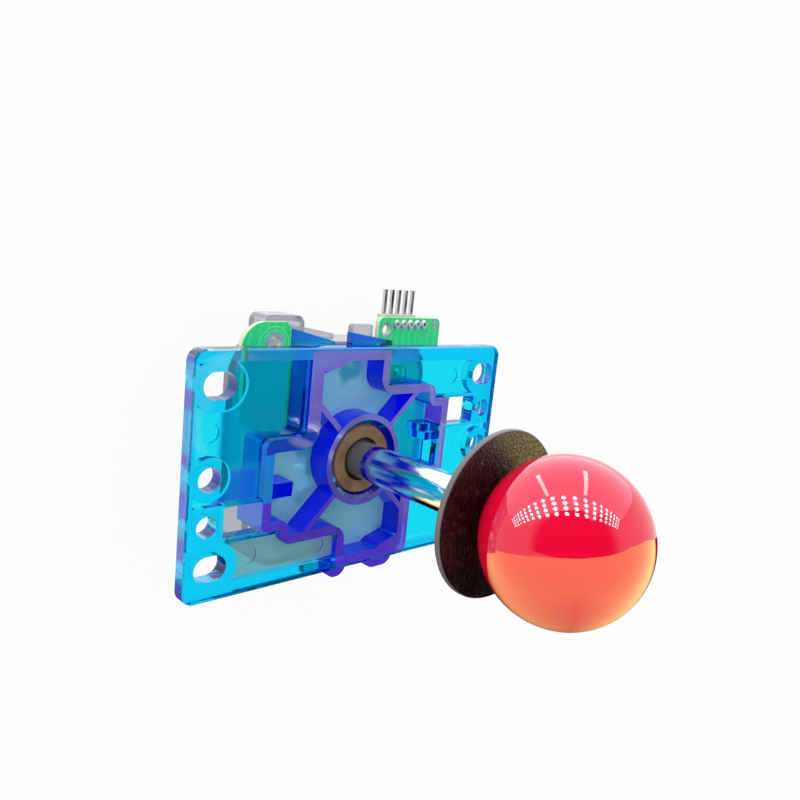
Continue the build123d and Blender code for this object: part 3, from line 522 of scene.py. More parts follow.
@dataclass(frozen=True)
class HousingPlastic(ClearPlastic):
    """Clear blue moulding, violet on wall ends, deep blue on flanks and banded on short edges."""

    cloud_dark: float = 0.94
    violet: Rgb = (0.18, 0.07, 0.84)
    lilac: Rgb = (0.36, 0.30, 0.80)
    pane: Rgb = (0.05, 0.28, 0.92)
    azure: Rgb = (0.03, 0.42, 0.95)
    dusk: Rgb = (0.02, 0.10, 0.70)
    flank: Rgb = (0.0, 0.006, 0.92)
    edge_violet: Rgb = (0.14, 0.18, 0.88)
    edge_cyan: Rgb = (0.04, 0.58, 1.0)
    mist: Rgb = (0.27, 0.50, 0.50)
    basin: Rgb = (0.34, 0.74, 0.88)
    teal: Rgb = (0.0, 0.46, 0.80)
    pool: Rgb = (0.08, 0.48, 0.62)
    shadow: Rgb = (0.02, 0.22, 0.92)
    pale: Rgb = (0.01, 0.72, 0.92)
    end_clear: float = 0.45
    flank_clear: float = 0.28
    mist_clear: float = 0.35
    teal_clear: float = 0.5
    east_clear: float = 0.45
    arm_clear: float = 0.55
    edge_clear: float = 0.35
    path: WallPath = WallPath()
    crisp: Spot = (0.06, -0.04)
    close_by: Spot = (0.3, 0.1)
    front: Spot = (-0.45, -0.2)
    hub_inner: float = 10.5
    hub_outer: float = 12.0
    hub_soft: float = 0.1
    hub_share: float = 0.95
    rib_half: float = 0.7
    rib_reach: float = 27.0
    rib_start: float = 0.2
    rib_end: float = 0.5
    plate_half: float = 49.0
    edge_depth: Spot = (0.5, 0.3)
    edge_bands: tuple[Spot, ...] = (
        (17.9, 2.2), (4.6, 1.6), (-5.6, 3.2), (-16.0, 2.8), (-25.8, 2.2), (27.4, 1.6)
    )
    band_soft: float = 0.9
    lobe_y: Spot = (-28.6, -29.2)
    lobe_levels: Spot = (-3.2, -4.0)
    deep_levels: Spot = (-5.0, -5.6)
    pool_noise: float = 85.0
    pool_share: Spot = (0.47, 0.60)
    drift_lean: float = 0.5
    drift_noise: float = 75.0
    drift_wander: float = 40.0
    drift: Spot = (-8.0, 40.0)
    west_wall: Zone = Zone((-31.0, -7.0), (-26.4, 4.0), (-3.0, 1.0), 0.8)
    ledge: Zone = Zone((-31.0, 4.4), (-15.8, 8.4), (-3.0, 1.0), 0.6)
    west_stub: Zone = Zone((-27.4, -7.4), (-20.4, -3.0), (-6.0, 1.0), 0.1)
    board_views: tuple[Zone, ...] = (
        Zone((-36.0, 10.6), (-25.0, 25.4), (-2.4, -1.5), 2.0),
        Zone((-40.4, 3.0), (-36.0, 25.4), (-2.4, -1.5), 1.5),
    )
    left_panel: Zone = Zone((-41.0, -7.6), (-31.6, 0.0), (-2.4, -1.5), 3.0)
    top_rim: Zone = Zone((-36.0, 25.4), (16.0, 29.6), (-0.8, 0.6), 0.3)
    arms: Zone = Zone((-22.0, 29.1), (10.0, 40.0), (-12.0, 1.0), 0.1)
    east_floor: Zone = Zone((16.0, -8.0), (28.6, 19.0), (-6.7, -6.1), 1.5)
    east_flank: Zone = Zone((26.6, -5.0), (30.4, 7.2), (-7.0, 1.0), 0.3)
    sides: tuple[tuple[Zone, Rgb], ...] = (
        (Zone((-31.6, -16.0), (-29.0, 9.0), (-12.0, 1.0), 0.3), (0.06, 0.26, 0.80)),
        (Zone((-19.6, 7.2), (-17.9, 28.6), (-12.0, -1.0), 0.3), (0.03, 0.17, 0.82)),
        (Zone((-31.0, 7.3), (-17.8, 8.6), (-12.0, 1.0), 0.3), (0.04, 0.22, 0.78)),
        (Zone((26.8, 7.6), (27.8, 13.4), (-7.0, 1.0), 0.3), (0.25, 0.08, 0.82)),
        (Zone((21.2, 12.0), (22.2, 17.2), (-7.0, 1.0), 0.3), (0.03, 0.42, 0.95)),
    )
    mists: tuple[Zone, ...] = (
        Zone((-36.0, -26.0), (-6.0, -14.0), (-2.4, -1.5), 1.5),
        Zone((-28.0, -27.0), (16.0, 27.0), (-6.7, -6.1), 1.5),
    )

    def walls(self, plate: PlateMap) -> tuple[Socket, Socket]:
        """Finds the front ends and the flanks of the walls, the hub and the ribs.

        Args:
            plate: Position on the housing.

        Returns:
            Sockets of the ends' mask and the flanks' mask.
        """
        sheet = plate.sheet
        half = self.path.wall / 2
        wall = plate.distance(self.path.runs())
        radius = sheet.measure("LENGTH", plate.flat)
        gaps = []
        for sign in (1.0, -1.0):
            across = sheet.math("ADD", plate.x, sheet.every(plate.y, sign))
            gaps.append(sheet.every(sheet.math("ABSOLUTE", across), math.sqrt(0.5)))
        rib = sheet.chain("MINIMUM", gaps)
        reach = sheet.every(
            sheet.fade(radius, self.hub_outer - self.rib_start, self.hub_outer),
            sheet.fade(radius, self.rib_reach + self.rib_end, self.rib_reach - self.rib_end),
        )
        ring = sheet.every(
            sheet.fade(radius, self.hub_inner - self.hub_soft, self.hub_inner + self.hub_soft),
            sheet.fade(radius, self.hub_outer + self.hub_soft, self.hub_outer - self.hub_soft),
            self.hub_share,
        )
        margins = (self.crisp, self.close_by)
        on_wall, near_wall = (sheet.fade(wall, half + a, half + b) for a, b in margins)
        on_rib, near_rib = (
            sheet.every(sheet.fade(rib, self.rib_half + a, self.rib_half + b), reach)
            for a, b in margins
        )
        near_hub = sheet.fade(radius, *(self.hub_outer + margin for margin in self.close_by))
        front = sheet.fade(plate.z, *self.front)
        ends = sheet.every(sheet.either(on_wall, ring, on_rib), front, plate.facing)
        flanks = sheet.every(sheet.either(near_wall, near_hub, near_rib), plate.upright)
        stub = sheet.every(self.west_stub.mask(plate), sheet.rest(ends))
        east = sheet.rest(self.east_flank.mask(plate))
        return ends, sheet.every(sheet.either(flanks, stub), east)

    def edges(self, plate: PlateMap) -> tuple[Socket, Socket]:
        """Finds the plate's short edges and the bands along them.

        Args:
            plate: Position on the housing.

        Returns:
            Sockets of the edges' mask and the bands' mask.
        """
        sheet = plate.sheet
        limits = (self.plate_half - depth for depth in self.edge_depth)
        outer = sheet.fade(sheet.math("ABSOLUTE", plate.x), *limits)
        along = sheet.every(plate.y, sheet.math("SIGN", plate.x), -1.0)
        bands = []
        for middle, half in self.edge_bands:
            gap = sheet.math("ABSOLUTE", sheet.math("SUBTRACT", along, middle))
            bands.append(sheet.fade(gap, half + self.band_soft, half - self.band_soft))
        return sheet.every(outer, plate.upright), sheet.either(*bands)

    def panes(self, plate: PlateMap, zones: Sequence[Zone]) -> Socket:
        """Mask of the faces along the plate in some zones."""
        found = plate.sheet.either(*(zone.mask(plate) for zone in zones))
        return plate.sheet.every(found, plate.facing)

    def floor(self, plate: PlateMap, place: Socket) -> Socket:
        """Colours the misty panes, with pools on the cavity's floor.

        Args:
            plate: Position on the housing.
            place: Socket of the position in metres.

        Returns:
            Socket of the colour.
        """
        sheet = plate.sheet
        patches = sheet.fade(sheet.noise(place, self.pool_noise), *self.pool_share)
        deep = sheet.fade(plate.z, *self.deep_levels)
        ground = sheet.mix(deep, self.mist, self.basin)
        return sheet.mix(sheet.every(patches, deep), ground, self.pool)

    def wall_ends(self, plate: PlateMap, place: Socket) -> Socket:
        """Colours the wall ends, from violet to lilac and blue at the left.

        Args:
            plate: Position on the housing.
            place: Socket of the position in metres.

        Returns:
            Socket of the colour.
        """
        sheet = plate.sheet
        across = sheet.math("ADD", sheet.every(plate.x, self.drift_lean), plate.y)
        wander = sheet.every(sheet.noise(place, self.drift_noise), self.drift_wander)
        drift = sheet.fade(sheet.math("ADD", across, wander), *self.drift)
        tone = sheet.mix(drift, self.violet, self.lilac)
        tone = sheet.mix(self.west_wall.mask(plate), tone, self.azure)
        return sheet.mix(self.ledge.mask(plate), tone, self.dusk)

    def material(self) -> bpy.types.Material:
        """Makes the finish.

        Returns:
            The new material.
        """
        material, sheet = new_sheet(self.name)
        place = sheet.place()
        plate = PlateMap(sheet, place)
        ends, flanks = self.walls(plate)
        edges, bands = self.edges(plate)
        low = sheet.fade(plate.y, *self.lobe_y)
        lobes = sheet.every(low, sheet.fade(plate.z, *self.lobe_levels))
        ends = sheet.either(ends, lobes)
        mist = self.panes(plate, self.mists)
        east = self.panes(plate, (self.east_floor,))
        teal = self.panes(plate, self.board_views)
        panel = self.panes(plate, (self.left_panel,))
        rim = self.panes(plate, (self.top_rim,))
        arms = self.arms.mask(plate)
        flank = self.flank
        for zone, own in self.sides:
            flank = sheet.mix(zone.mask(plate), flank, own)
        colour = self.clouded(sheet, place)
        for mask, own in (
            (mist, self.floor(plate, place)),
            (east, self.pale),
            (teal, self.teal),
            (panel, self.shadow),
            (rim, self.azure),
            (arms, self.pane),
            (flanks, flank),
            (ends, self.wall_ends(plate, place)),
            (edges, sheet.mix(bands, self.edge_cyan, self.edge_violet)),
        ):
            colour = sheet.mix(mask, colour, own)
        clear = 1.0 - self.haze
        for mask, level in (
            (mist, self.mist_clear),
            (east, self.east_clear),
            (sheet.either(teal, panel, rim), self.teal_clear),
            (arms, self.arm_clear),
            (flanks, self.flank_clear),
            (ends, self.end_clear),
            (edges, self.edge_clear),
        ):
            inputs = {0: mask, 2: clear, 3: level}
            clear = sheet.add("ShaderNodeMix", inputs, data_type="FLOAT").outputs[0]
        self.close(sheet, place, colour, clear)
        return material


@dataclass(frozen=True)
class GlossPlastic:
    """Polished opaque moulding."""

    name: str
    colour: Rgb
    roughness: float = 0.035
    scuffed: float = 2.5
    cloud: float = 45.0
    cloud_dark: float = 0.93
    scuff: float = 900.0
    scuff_share: Spot = (0.60, 0.78)
    peel: float = 1500.0
    peel_relief: Spot = (0.012, 0.05 * MM)
    coat: float = 0.35
    coat_roughness: float = 0.02

    def material(self) -> bpy.types.Material:
        """Makes the finish.

        Returns:
            The new material.
        """
        material, sheet = new_sheet(self.name)
        place = sheet.place()
        cloud = sheet.noise(place, self.cloud, CLOUD_DETAIL)
        colour = sheet.mix(cloud, self.colour, darker(self.colour, self.cloud_dark))
        scuffs = sheet.fade(sheet.noise(place, self.scuff, 4.0, 0.65), *self.scuff_share)
        rough = sheet.spread(scuffs, UNIT, self.roughness, self.roughness * self.scuffed)
        normal = sheet.bump(sheet.noise(place, self.peel, 1.0), *self.peel_relief)
        coat = {"Coat_Weight": self.coat, "Coat_Roughness": self.coat_roughness}
        sheet.finish(sheet.surface(colour, rough, normal, IOR=PLASTIC_IOR, **coat))
        return material


@dataclass(frozen=True)
class GrainedPlastic:
    """Dark plastic with a pressed leather grain and painted shade in its creases, paler and plain
    round its rim.
    """

    name: str
    colour: Rgb
    warm: Rgb
    hair: Rgb
    rim: Rgb
    rim_radius: float
    rim_depth: Spot = (0.35 * MM, 0.1 * MM)
    grain: float = 900.0
    strand: Point = (2400.0, 420.0, 2400.0)
    warp: float = 500.0
    warp_reach: float = 1.6 * MM
    crease_width: float = 0.16
    # share of the colour kept in the grain's creases: painted shade
    crease_shade: float = 0.4
    crease_share: float = 0.45
    hairs: Spot = (0.54, 0.70)
    hair_share: float = 0.55
    wear: float = 120.0
    worn: Spot = (0.4, 0.7)
    roughness: Spot = (0.45, 0.28)
    hair_height: float = 0.5
    relief: Spot = (0.4, 0.18 * MM)

    def material(self) -> bpy.types.Material:
        """Makes the finish.

        Returns:
            The new material.
        """
        material, sheet = new_sheet(self.name)
        place = sheet.place()
        clouds = {"Vector": place, "Scale": self.warp, "Detail": 2.0}
        warp = sheet.add("ShaderNodeTexNoise", clouds).outputs["Color"]
        drift = sheet.vector("SUBTRACT", warp, (0.5, 0.5, 0.5))
        drift = sheet.vector("MULTIPLY", drift, (self.warp_reach,) * 3)
        moved = sheet.vector("ADD", place, drift)
        grain = {"Vector": moved, "Scale": self.grain, "Randomness": 1.0}
        cells = sheet.add("ShaderNodeTexVoronoi", grain, feature="DISTANCE_TO_EDGE")
        creases = sheet.fade(cells.outputs["Distance"], 0.0, self.crease_width)
        strands = sheet.noise(sheet.vector("MULTIPLY", moved, self.strand), 1.0, *FINE_DETAIL)
        hairs = sheet.fade(strands, *self.hairs)
        height = sheet.weigh(creases, hairs, self.hair_height)
        radius = sheet.measure("LENGTH", sheet.vector("MULTIPLY", place, FLAT))
        rim = sheet.fade(radius, *(self.rim_radius - depth for depth in self.rim_depth))
        worn = sheet.fade(sheet.noise(place, self.wear, CLOUD_DETAIL), *self.worn)
        colour = sheet.mix(worn, self.colour, self.warm)
        # creases of the grain are darkened: painted shade
        dark = darker(self.colour, self.crease_shade)
        colour = sheet.mix(sheet.every(creases, self.crease_share), dark, colour)
        colour = sheet.mix(sheet.every(hairs, self.hair_share), colour, self.hair)
        colour = sheet.mix(rim, colour, self.rim)
        rough = sheet.spread(creases, UNIT, *self.roughness)
        normal = sheet.bump(height, *self.relief)
        sheet.finish(sheet.surface(colour, rough, normal, IOR=PLASTIC_IOR))
        return material


@dataclass(frozen=True)
class MouldedPlastic:
    """Satin moulding with a fine spark-eroded texture."""

    name: str
    colour: Rgb
    roughness: float
    fleck: float
    cloud: float = 160.0
    spark: float = 5200.0
    middle: Spot = (0.3, 0.7)
    smoother: float = 0.08
    rougher: float = 0.1
    relief: Spot = (0.3, 0.04 * MM)

    def material(self) -> bpy.types.Material:
        """Makes the finish.

        Returns:
            The new material.
        """
        material, sheet = new_sheet(self.name)
        place = sheet.place()
        fine = sheet.noise(place, self.spark, *FINE_DETAIL)
        cloud = sheet.fade(sheet.noise(place, self.cloud, CLOUD_DETAIL), *self.middle)
        colour = sheet.mix(cloud, self.colour, darker(self.colour, 1 - self.fleck))
        limits = (self.roughness - self.smoother, self.roughness + self.rougher)
        rough = sheet.spread(fine, self.middle, *limits)
        normal = sheet.bump(fine, *self.relief)
        sheet.finish(sheet.surface(colour, rough, normal, IOR=PLASTIC_IOR))
        return material


@dataclass(frozen=True)
class BareMetal:
    """Metal with turning or drawing marks along one direction, dull below its collar's top."""

    name: str
    colour: Rgb
    roughness: float
    marks: Point = (200.0, 200.0, 9000.0)
    relief: float = 0.12
    stain: float = 0.12
    depth: float = 0.03 * MM
    cloud: float = 180.0
    stained: Spot = (0.35, 0.75)
    drawn: Spot = (0.3, 0.7)
    drawn_rough: Spot = (0.7, 1.5)
    collar: Rgb = (0.15, 0.15, 0.16)
    collar_top: float = -1.0
    collar_fade: float = 0.15 * MM
    collar_paint: float = 0.6
    collar_rough: float = 0.22

    def material(self) -> bpy.types.Material:
        """Makes the finish.

        Returns:
            The new material.
        """
        material, sheet = new_sheet(self.name)
        place = sheet.place()
        drawn = sheet.noise(sheet.vector("MULTIPLY", place, self.marks), 1.0, *FINE_DETAIL)
        stain = sheet.fade(sheet.noise(place, self.cloud, CLOUD_DETAIL), *self.stained)
        colour = sheet.mix(stain, self.colour, darker(self.colour, 1 - self.stain))
        level = sheet.axes(place)[2]
        dull = sheet.fade(level, self.collar_top + self.collar_fade, self.collar_top)
        colour = sheet.mix(dull, colour, self.collar)
        limits = (self.roughness * share for share in self.drawn_rough)
        rough = sheet.spread(drawn, self.drawn, *limits)
        rough = sheet.math("ADD", rough, sheet.every(dull, self.collar_rough))
        metal = sheet.rest(sheet.every(dull, self.collar_paint))
        normal = sheet.bump(sheet.every(drawn, sheet.rest(dull)), self.relief, self.depth)
        sheet.finish(sheet.surface(colour, rough, normal, Metallic=metal))
        return material


@dataclass(frozen=True)
class BoardLaminate:
    """Green solder mask over a faint weave, with brighter tracks under it and a pale cut edge."""

    name: str
    colour: Rgb
    track: Rgb
    edge: Rgb
    front: float
    back: float
    hole: Point = (-23.3 * MM, 28.7 * MM, 0.0)
    rings: tuple[float, ...] = (3.1 * MM, 4.0 * MM)
    ring_half: Spot = (0.16 * MM, 0.08 * MM)
    weave: float = 900.0
    mortar: float = 0.05
    cloud: float = 140.0
    cloud_share: float = 0.25
    cloud_dark: float = 0.6
    lanes: float = 130.0
    lane_bend: float = 3.0
    lane_width: Spot = (0.80, 0.86)
    lane_share: float = 0.3
    skin: Spot = (0.04 * MM, 0.12 * MM)
    roughness: Spot = (0.22, 0.7)
    coat: float = 0.3
    weave_height: float = 0.2
    relief: Spot = (0.25, 0.04 * MM)

    def material(self) -> bpy.types.Material:
        """Makes the finish.

        Returns:
            The new material.
        """
        material, sheet = new_sheet(self.name)
        place = sheet.place()
        cells = {"Vector": place, "Scale": self.weave, "Mortar Size": self.mortar}
        cells |= {"Brick Width": 1.0, "Row Height": 1.0}
        weave = sheet.add("ShaderNodeTexBrick", cells).outputs["Fac"]
        bands = {"Vector": place, "Scale": self.lanes, "Distortion": self.lane_bend, "Detail": 0.0}
        lanes = sheet.add("ShaderNodeTexWave", bands).outputs["Fac"]
        tracks = sheet.every(sheet.fade(lanes, *self.lane_width), self.lane_share)
        offset = sheet.vector("MULTIPLY", sheet.vector("SUBTRACT", place, self.hole), FLAT)
        away = sheet.measure("LENGTH", offset)
        for radius in self.rings:
            gap = sheet.math("ABSOLUTE", sheet.math("SUBTRACT", away, radius))
            tracks = sheet.either(tracks, sheet.fade(gap, *self.ring_half))
        colour = sheet.mix(tracks, self.colour, self.track)
        cloud = sheet.every(sheet.noise(place, self.cloud), self.cloud_share)
        colour = sheet.mix(cloud, colour, darker(self.colour, self.cloud_dark))
        level = sheet.axes(place)[2]
        inner = sheet.every(
            sheet.fade(level, *(self.back + depth for depth in self.skin)),
            sheet.fade(level, *(self.front - depth for depth in self.skin)),
        )
        colour = sheet.mix(inner, colour, self.edge)
        height = sheet.weigh(tracks, weave, self.weave_height)
        rough = sheet.spread(inner, UNIT, *self.roughness)
        normal = sheet.bump(height, *self.relief)
        sheet.finish(sheet.surface(colour, rough, normal, IOR=PLASTIC_IOR, Coat_Weight=self.coat))
        return material


class Finish(Enum):
    """Finish of each material slot of the record."""

    CLEAR_BLUE = HousingPlastic("clear_blue_plastic", (0.02, 0.98, 1.0), (0.0, 0.64, 0.985), 250.0)
    SMOKE = ClearPlastic(
        "smoke_clear_plastic",
        (0.80, 0.80, 0.84),
        (0.55, 0.55, 0.60),
        190.0,
        roughness=0.03,
        haze=0.26,
    )
    BOARD = BoardLaminate(
        "board_laminate",
        colour=(0.03, 0.82, 0.24),
        track=(0.18, 0.92, 0.44),
        edge=(0.72, 0.84, 0.56),
        front=-9.2 * MM,
        back=-10.8 * MM,
    )
    HEADER = MouldedPlastic("white_plastic", (0.80, 0.79, 0.76), 0.42, 0.06)
    TINNED = BareMetal("tinned_metal", (0.66, 0.65, 0.63), 0.34, (300.0, 300.0, 300.0), 0.2, 0.25)
    SOLDER = BareMetal("solder", (0.92, 0.92, 0.92), 0.48, (900.0, 900.0, 900.0), 0.3)
    BUSH = MouldedPlastic("brown_nylon", (0.31, 0.195, 0.095), 0.34, 0.42)
    BLACK = MouldedPlastic("black_nylon", (0.022, 0.022, 0.024), 0.40, 0.3)
    CHROME = BareMetal(
        "chromed_steel",
        (0.80, 0.81, 0.83),
        0.045,
        marks=(1500.0, 1500.0, 40.0),
        relief=0.7,
        stain=0.05,
        depth=0.12 * MM,
        collar_top=4.4 * MM,
    )
    SPRING = BareMetal("spring_steel", (0.58, 0.58, 0.60), 0.26, (400.0, 400.0, 400.0), stain=0.2)
    GRAINED = GrainedPlastic(
        "grained_black_plastic",
        colour=(0.003, 0.0015, 0.0015),
        warm=(0.014, 0.006, 0.006),
        hair=(0.13, 0.08, 0.07),
        rim=(0.20, 0.18, 0.18),
        rim_radius=18.8 * MM,
    )
    RED = GlossPlastic("red_gloss_plastic", (0.90, 0.002, 0.040))
    BRASS = BareMetal("brass_insert", (0.78, 0.58, 0.26), 0.25)
    SWITCH = MouldedPlastic("switch_plastic", (0.42, 0.45, 0.45), 0.5, 0.12)
    PLUNGER = MouldedPlastic("plunger_plastic", (0.55, 0.045, 0.035), 0.4, 0.15)
    LEAF = BareMetal("leaf_metal", (0.70, 0.69, 0.66), 0.24, (500.0, 500.0, 3000.0), 0.1, 0.15)

    @property
    def slot(self) -> str:
        """Material slot of the record."""
        return self.value.name


class FinishShelf:
    """Materials made so far, one for each slot."""

    def __init__(self) -> None:
        """Makes every finish once."""
        self.by_slot = {finish.slot: finish.value.material() for finish in Finish}

    def dress(self, piece: Piece, slot: str) -> None:
        """Gives a piece the finish of a material slot of the record."""
        piece.data.materials.clear()
        piece.data.materials.append(self.by_slot[slot])


def mesh_piece(name: str, builder: MeshBuilder, smooth: bool = False) -> Piece:
    """Turns a built mesh into an object.

    Args:
        name: Name of the piece.
        builder: Mesh that is used up.
        smooth: Whether its faces shade smoothly.

    Returns:
        The new object.
    """
    mesh = bpy.data.meshes.new(name)
    bmesh.ops.recalc_face_normals(builder, faces=builder.faces)
    builder.to_mesh(mesh)
    builder.free()
    for face in mesh.polygons:
        face.use_smooth = smooth
    piece = bpy.data.objects.new(name, mesh)
    bpy.context.scene.collection.objects.link(piece)
    return piece


def flat_faces(faces: Sequence[Sequence[Any]]) -> MeshBuilder:
    """Builds separate flat faces.

    Args:
        faces: Corners of each face, in order.

    Returns:
        The mesh.
    """
    builder = bmesh.new()
    for corners in faces:
        builder.faces.new([builder.verts.new(corner) for corner in corners])
    return builder


def closed_tube(rings: Sequence[Sequence[Vector]]) -> MeshBuilder:
    """Builds a tube over rings of points, closed at both ends.

    Args:
        rings: Rings with the same count of points, in order.

    Returns:
        The mesh.
    """
    builder = bmesh.new()
    rows = [[builder.verts.new(point) for point in ring] for ring in rings]
    for first, second in zip(rows, rows[1:]):
        for corner in range(len(first)):
            after = (corner + 1) % len(first)
            builder.faces.new((first[corner], first[after], second[after], second[corner]))
    builder.faces.new(rows[0])
    builder.faces.new(rows[-1])
    return builder


@dataclass
class ReturnSpring:
    """Coil spring under the hub, in two lengths."""

    shelf: FinishShelf
    wire: float = 1.0 * MM
    radius: float = 6.45 * MM
    top: float = -10.72 * MM
    bottom: float = -16.48 * MM
    turns: float = 4.5
    split: float = 0.78
    firm: float = -12.6 * MM
    steps: int = 40
    sides: int = 14

    def point(self, share: float) -> Vector:
        """Finds a point of the coil's middle line.

        Args:
            share: Share of the coil's height from below.

        Returns:
            The point in metres.
        """
        turn = 2 * math.pi * self.turns * share
        level = self.bottom + (self.top - self.bottom) * share
        return Vector((self.radius * math.cos(turn), self.radius * math.sin(turn), level))

    def length(self, name: str, first: float, last: float) -> Piece:
        """Builds one length of the coil.

        Args:
            name: Name of the piece.
            first: Share of the height where it starts.
            last: Share of the height where it ends.

        Returns:
            The new piece.
        """
        count = max(2, round(self.steps * self.turns * (last - first)))
        points = [self.point(first + (last - first) * index / count) for index in range(count + 1)]
        corners = [2 * math.pi * corner / self.sides for corner in range(self.sides)]
        rings = []
        for index, point in enumerate(points):
            forward = (points[min(index + 1, count)] - points[max(index - 1, 0)]).normalized()
            outward = Vector((point.x, point.y, 0.0)).normalized()
            outward = (outward - forward * outward.dot(forward)).normalized()
            upward = forward.cross(outward)
            section = [math.cos(turn) * outward + math.sin(turn) * upward for turn in corners]
            rings.append([point + self.wire / 2 * edge for edge in section])
        return mesh_piece(name, closed_tube(rings), smooth=True)

    def build(self) -> list[Piece]:
        """Builds both lengths.

        Returns:
            The two pieces.
        """
        upper = self.length("return_spring_upper", self.split, 1.0)
        lower = self.length("return_spring_lower", 0.0, self.split)
        for piece in (upper, lower):
            self.shelf.dress(piece, Finish.SPRING.slot)
            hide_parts("return_spring")
        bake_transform(upper)
        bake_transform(lower)
        return [upper, lower]


@dataclass
class SwitchLeaves:
    """Spring leaf of each switch, built as a fixed foot and a separate arm."""

    shelf: FinishShelf
    foot_end: float = 17.2 * MM
    hinge: float = 15.6 * MM
    split: float = 10.4 * MM
    tip: float = -2.0 * MM
    arm_steps: int = 8
    foot_reach: float = 11.475 * MM
    slope: float = 0.1463
    middle: float = -14.0 * MM
    width: float = 3.2 * MM
    thickness: float = 0.25 * MM
    keep: float = 0.06

    def reach(self, x: float) -> float:
        """Distance of the leaf from the lever axis at a place along the switch."""
        return self.foot_reach - self.slope * max(0.0, self.hinge - x)

    def strip(self, name: str, places: Sequence[float], side: Side) -> Piece:
        """Builds a length of the leaf with rounded long edges.

        Args:
            name: Name of the piece.
            places: Places along the switch, from the foot to the tip.
            side: Side on which the switch sits.

        Returns:
            The new piece.
        """
        half, thick = self.width / 2, self.thickness / 2
        section = [(-half, 0.0), (-half + thick, thick), (half - thick, thick)]
        section += [(-level, -out) for level, out in section]
        rings = []
        for x in places:
            away = self.reach(x)
            ring = [Vector((x, away + out, self.middle + level)) for level, out in section]
            rings.append([side.turn() @ corner for corner in ring])
        return mesh_piece(name, closed_tube(rings))

    def build(self) -> list[Piece]:
        """Builds the foot and the arm of every leaf.

        Returns:
            The new pieces.
        """
        pieces = []
        run = (self.split - self.tip) / self.arm_steps
        arm_places = [self.split - run * index for index in range(self.arm_steps + 1)]
        for side in Side:
            node = "switch_leaf_" + side.label
            foot = self.strip(node + "_foot", (self.foot_end, self.hinge, self.split), side)
            arm = self.strip(node + "_arm", arm_places, side)
            for piece in (foot, arm):
                self.shelf.dress(piece, Finish.LEAF.slot)
                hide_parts(node)
                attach(piece, "housing")
                pieces.append(piece)
            outward = side.turn() @ Vector((0.0, 1.0, 0.0))
            anchor = side.turn() @ Vector((self.split, self.reach(self.split), self.middle))
            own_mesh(arm)
        return pieces


@dataclass(frozen=True)
class Pad:
    """Flat ring round a hole of the circuit board, in millimetres."""

    spot: Spot
    inner: float
    outer: float
    stretch: float = 1.0


